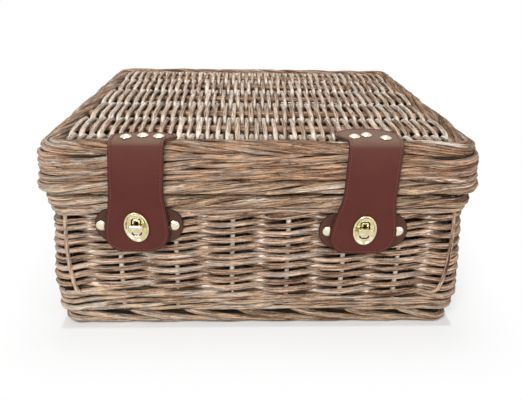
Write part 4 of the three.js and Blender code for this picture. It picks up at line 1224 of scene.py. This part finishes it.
LOCK_WIDTH, LOCK_HEIGHT = 23.2, 31.2
LOCK_OUT, PLATE_THICKNESS = 8.5, 1.2
SLOT_WIDTH, SLOT_HEIGHT, SLOT_ROUNDING = 9.4, 18.0, 2.5
BASE_WIDTH, BASE_HEIGHT, BASE_OUT = 19.0, 24.0, 3.8
BOSS_OUT = 9.25
BORE = 2.05
KNOB_LENGTH, KNOB_WIDTH, KNOB_OUT = 13.6, 6.4, 11.2
KNOB_STEM = 1.8


def plate_levels(tilt):
    """The plate on the strap: a raised rim, a flat ring and a raised frame round the slot."""
    def edge(inset):
        return oval(LOCK_WIDTH - 2 * inset, LOCK_HEIGHT - 2 * inset, tilt)

    def slot(grow):
        return rounded(SLOT_WIDTH + 2 * grow, SLOT_HEIGHT + 2 * grow, SLOT_ROUNDING + grow)

    top = LOCK_OUT + PLATE_THICKNESS
    rim = ((0.5, 0.0), (0.1, 0.3), (0.0, 0.9), (0.15, 1.5), (0.45, 2.0), (0.85, 2.3), (1.3, 2.4),
           (1.75, 2.3), (2.2, 1.95), (2.6, 1.45), (2.9, 1.22))
    raised = ((0.9, -0.05), (0.65, 0.12), (0.35, 0.15), (0.1, 0.05), (0.0, -0.15))
    levels = [(slot(0.0), LOCK_OUT)] + [(edge(inset), LOCK_OUT + rise) for inset, rise in rim]
    levels += [(edge(3.1) * (1 - share) + slot(0.9) * share, top - 0.1) for share in (0.35, 0.7)]
    return levels + [(slot(grow), top + rise) for grow, rise in raised]


def base_levels():
    """The plate on the tab, with the boss that goes through the slot."""
    def edge(inset):
        return oval(BASE_WIDTH - 2 * inset, BASE_HEIGHT - 2 * inset)

    def boss(inset):
        return rounded(
            SLOT_WIDTH - 2 - 2 * inset, SLOT_HEIGHT - 2 - 2 * inset, SLOT_ROUNDING - 0.5 - 0.4 * inset)

    rim = ((0.2, 0.0), (0.0, 0.4), (0.1, 1.1), (0.6, 1.38))
    levels = [(BORE, BASE_OUT)] + [(edge(inset), BASE_OUT + rise) for inset, rise in rim]
    levels += [(boss(-0.6), BASE_OUT + 1.4), (boss(0.0), BASE_OUT + 1.7)]
    for inset, rise in ((0.0, 0.0), (0.12, 0.3), (0.4, 0.45), (1.3, 0.45), (1.6, 0.2)):
        levels.append((boss(inset), BOSS_OUT + rise))
    return levels + [(BORE, BOSS_OUT + 0.2)]


def knob_levels():
    """The turning bar on its stem."""
    def bar(inset):
        return rounded(KNOB_LENGTH - 2 * inset, KNOB_WIDTH - 2 * inset, 1.6 - min(inset, 1.2))

    form = ((1.0, 0.0), (0.25, 0.15), (0.0, 0.5), (0.0, 2.4), (0.15, 2.95), (0.5, 3.3), (1.0, 3.4),
            (1.5, 3.4), (1.75, 3.2), (2.4, 3.15))
    levels = [(10 * TINY, 5.5), (KNOB_STEM, 5.5), (KNOB_STEM, KNOB_OUT)]
    return levels + [(bar(inset), KNOB_OUT + rise) for inset, rise in form] + [(10 * TINY, KNOB_OUT + 3.15)]


def lock(side):
    x, z = STRAPS[side]["lock"]
    for part, body, levels in (
            ("plate", f"strap_{side}", plate_levels(STRAPS[side]["tilt"])),
            ("base", "basket", base_levels()), ("knob", f"knob_{side}", knob_levels())):
        piece = shell(f"lock_{part}_{side}", face_rings(x, z, levels), BRASS, closed=part != "knob")
        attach(piece, body)
        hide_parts(f"turnlock_{part}_{side}")


def rivets(side):
    for i in (1, 2, 3):
        name = f"strap_rivet_{side}_{i}"
        x, y, _ = node_middle(name)
        dome("lid_" + name, (x, y, heights(name)[1] - RIVET_CROWN), (0, 0, 1), 8.5, "lid", name)
    for i in (1, 2):
        name = f"tab_rivet_{side}_{i}"
        x, _, z = node_middle(name)
        dome("wall_" + name, (x, node_box(name)[0][1] + RIVET_CROWN, z), (0, -1, 0), 3.5, "basket", name)


for side in SIDES:
    strap(side)
    catch_tab(side)
    lock(side)
    rivets(side)

# Hinges

RIM_ROD, LID_ROD = 8.0, 7.5
CANE = 1.5
CANE_GAP = 0.4


def hinge_cane(side):
    """Cane wound three times round the two back rods."""
    x = node_middle(f"hinge_loop_{side}")[0]
    back = SHIFT_Y + BODY_DEPTH / 2
    angles = np.linspace(-math.pi, 0, 15)
    turn = []
    for (out, z), rod, begin in ((RIM_CENTRE, RIM_ROD, 0), ((LID_RIM_OUT, LID_RIM_Z), LID_ROD, math.pi)):
        reach = rod + CANE_GAP + CANE
        turn += [(back + out + reach * math.cos(a), z + reach * math.sin(a)) for a in angles + begin]
    turn = np.array(turn * 3 + turn[:6])
    across = np.linspace(x - 3.6, x + 3.6, len(turn)) + rng.normal(0, 0.06, len(turn))
    rods = Rods()
    path = np.column_stack([across, turn])
    rods.tube(path, CANE * 1.1, 8, up=(1, 0, 0), flat=0.72, wash=0.3, tint=0.4)
    rods.piece(f"hinge_cane_{side}", STICK_WILLOW, "lid", "willow_border", f"hinge_loop_{side}")


for side in SIDES:
    hinge_cane(side)

# Corner fillers


def corner_fillers():
    """Upright rods behind the lobes of the wall's corners, which keep daylight out; they are painted in full
    shade.
    """
    rods = Rods()
    n = 12
    z = np.linspace(WALE_TOP, 133, n)
    for name, middle in UPRIGHTS:
        if name.startswith("corner"):
            for aside in (-9.0, -3.0, 3.0, 9.0):
                s = np.full(n, middle + aside)
                out = LINE_OUT - 3.0 + np.interp(z, [42, 132], [9.3, 1.0]) * corner_share(s)
                rods.tube(way.at(s, out, z), 2.6, 6, up=UPRIGHT, wash=0.0, shade=1.0)
    return rods


corner_fillers().piece("corner_filler_rods", WALL_WILLOW, "basket", "willow_weave")

# Stage, light and camera

FLOOR_HALF = 6.0
WHITE = (1, 1, 1, 1)
WORLD_LIGHT = 0.34  # how strongly the white surroundings light the scene


def beyond(g, coordinate, half):
    """How far a place lies past the hamper's edge along one axis, in metres."""
    return g.math("MAXIMUM", g.minus(g.math("ABSOLUTE", coordinate), half * MM), 0.0)


def floor_white():
    """A pale floor that the camera sees as white away from the hamper and its shadow."""
    g = Surface("floor_white")
    g.set(g.shader, Base_Color=(0.86, 0.86, 0.86, 1), Roughness=0.9, Specular_IOR_Level=0.0)
    spot = g.split(g.add("TexCoord").outputs["Object"])
    halves = (BODY_WIDTH / 2, BODY_DEPTH / 2)
    squares = [g.math("POWER", beyond(g, *pair), 2.0) for pair in zip(spot, halves)]
    away = g.math("SQRT", g.plus(*squares))
    share = g.times(g.ramp(away, 0.0, 0.11, 0.6, 1.0), g.ramp(away, 0.0, 0.003))
    blend = g.add("MixShader", Fac=g.times(g.seen_directly(), share))
    g.put(blend.inputs[1], g.shader.outputs[0])
    g.put(blend.inputs[2], g.add("Emission", Color=WHITE, Strength=1.0).outputs[0])
    g.put(g.output.inputs[0], blend.outputs[0])
    return g.material


def white_world():
    world = bpy.data.worlds.new("studio")
    bpy.context.scene.world = world
    world.use_nodes = True
    g = Graph(world.node_tree)
    strength = g.ramp(g.seen_directly(), 0.0, 1.0, WORLD_LIGHT, 1.0)
    back = g.add("Background", Color=WHITE, Strength=strength)
    g.put(g.add("OutputWorld").inputs[0], back.outputs[0])


def area_light(name, place, size, watts):
    lamp = bpy.data.lights.new(name, "AREA")
    lamp.size = size
    lamp.energy = watts
    obj = bpy.data.objects.new(name, lamp)
    obj.location = place
    obj.rotation_euler = (Vector((0, 0, 0.1)) - Vector(place)).to_track_quat("-Z", "Y").to_euler()
    bpy.context.scene.collection.objects.link(obj)


floor_mesh = bpy.data.meshes.new("floor")
floor_corners = [(x * FLOOR_HALF, y * FLOOR_HALF, 0) for x, y in ((-1, -1), (1, -1), (1, 1), (-1, 1))]
floor_mesh.from_pydata(floor_corners, [], [(0, 1, 2, 3)])
floor = linked("floor", floor_mesh, floor_white())
white_world()
area_light("key", (-0.7, -1.6, 1.7), 0.8, 38)
area_light("fill", (1.4, -1.4, 0.9), 1.2, 9)
area_light("top", (0.0, 0.5, 1.9), 1.0, 13)

# The photo's view, fitted to its corners: sizes in pixels and angles in degrees
PHOTO_WIDTH, PHOTO_HEIGHT = 522, 400
FOCAL, AXIS_ROW = 511.0, 153.0
PITCH, YAW, ROLL = (math.radians(angle) for angle in (20.4, 2.12, -1.02))
CAMERA_PLACE = (-17.0, -604.5 + SHIFT_Y, 351.5)


def photo_camera():
    data = bpy.data.cameras.new("camera")
    camera = bpy.data.objects.new("camera", data)
    bpy.context.scene.collection.objects.link(camera)
    bpy.context.scene.camera = camera
    camera.matrix_world = Matrix.Translation(Vector(CAMERA_PLACE) * MM)
    for angle, axis in ((-YAW, "Z"), (math.pi / 2 - PITCH, "X"), (-ROLL, "Z")):
        camera.matrix_world = camera.matrix_world @ Matrix.Rotation(angle, 4, axis)
    data.sensor_width = 36.0
    data.lens = FOCAL / PHOTO_WIDTH * data.sensor_width
    data.shift_y = -(PHOTO_HEIGHT / 2 - AXIS_ROW) / PHOTO_WIDTH
    data.clip_start = 0.01


photo_camera()
bpy.context.scene.view_settings.view_transform = "Standard"
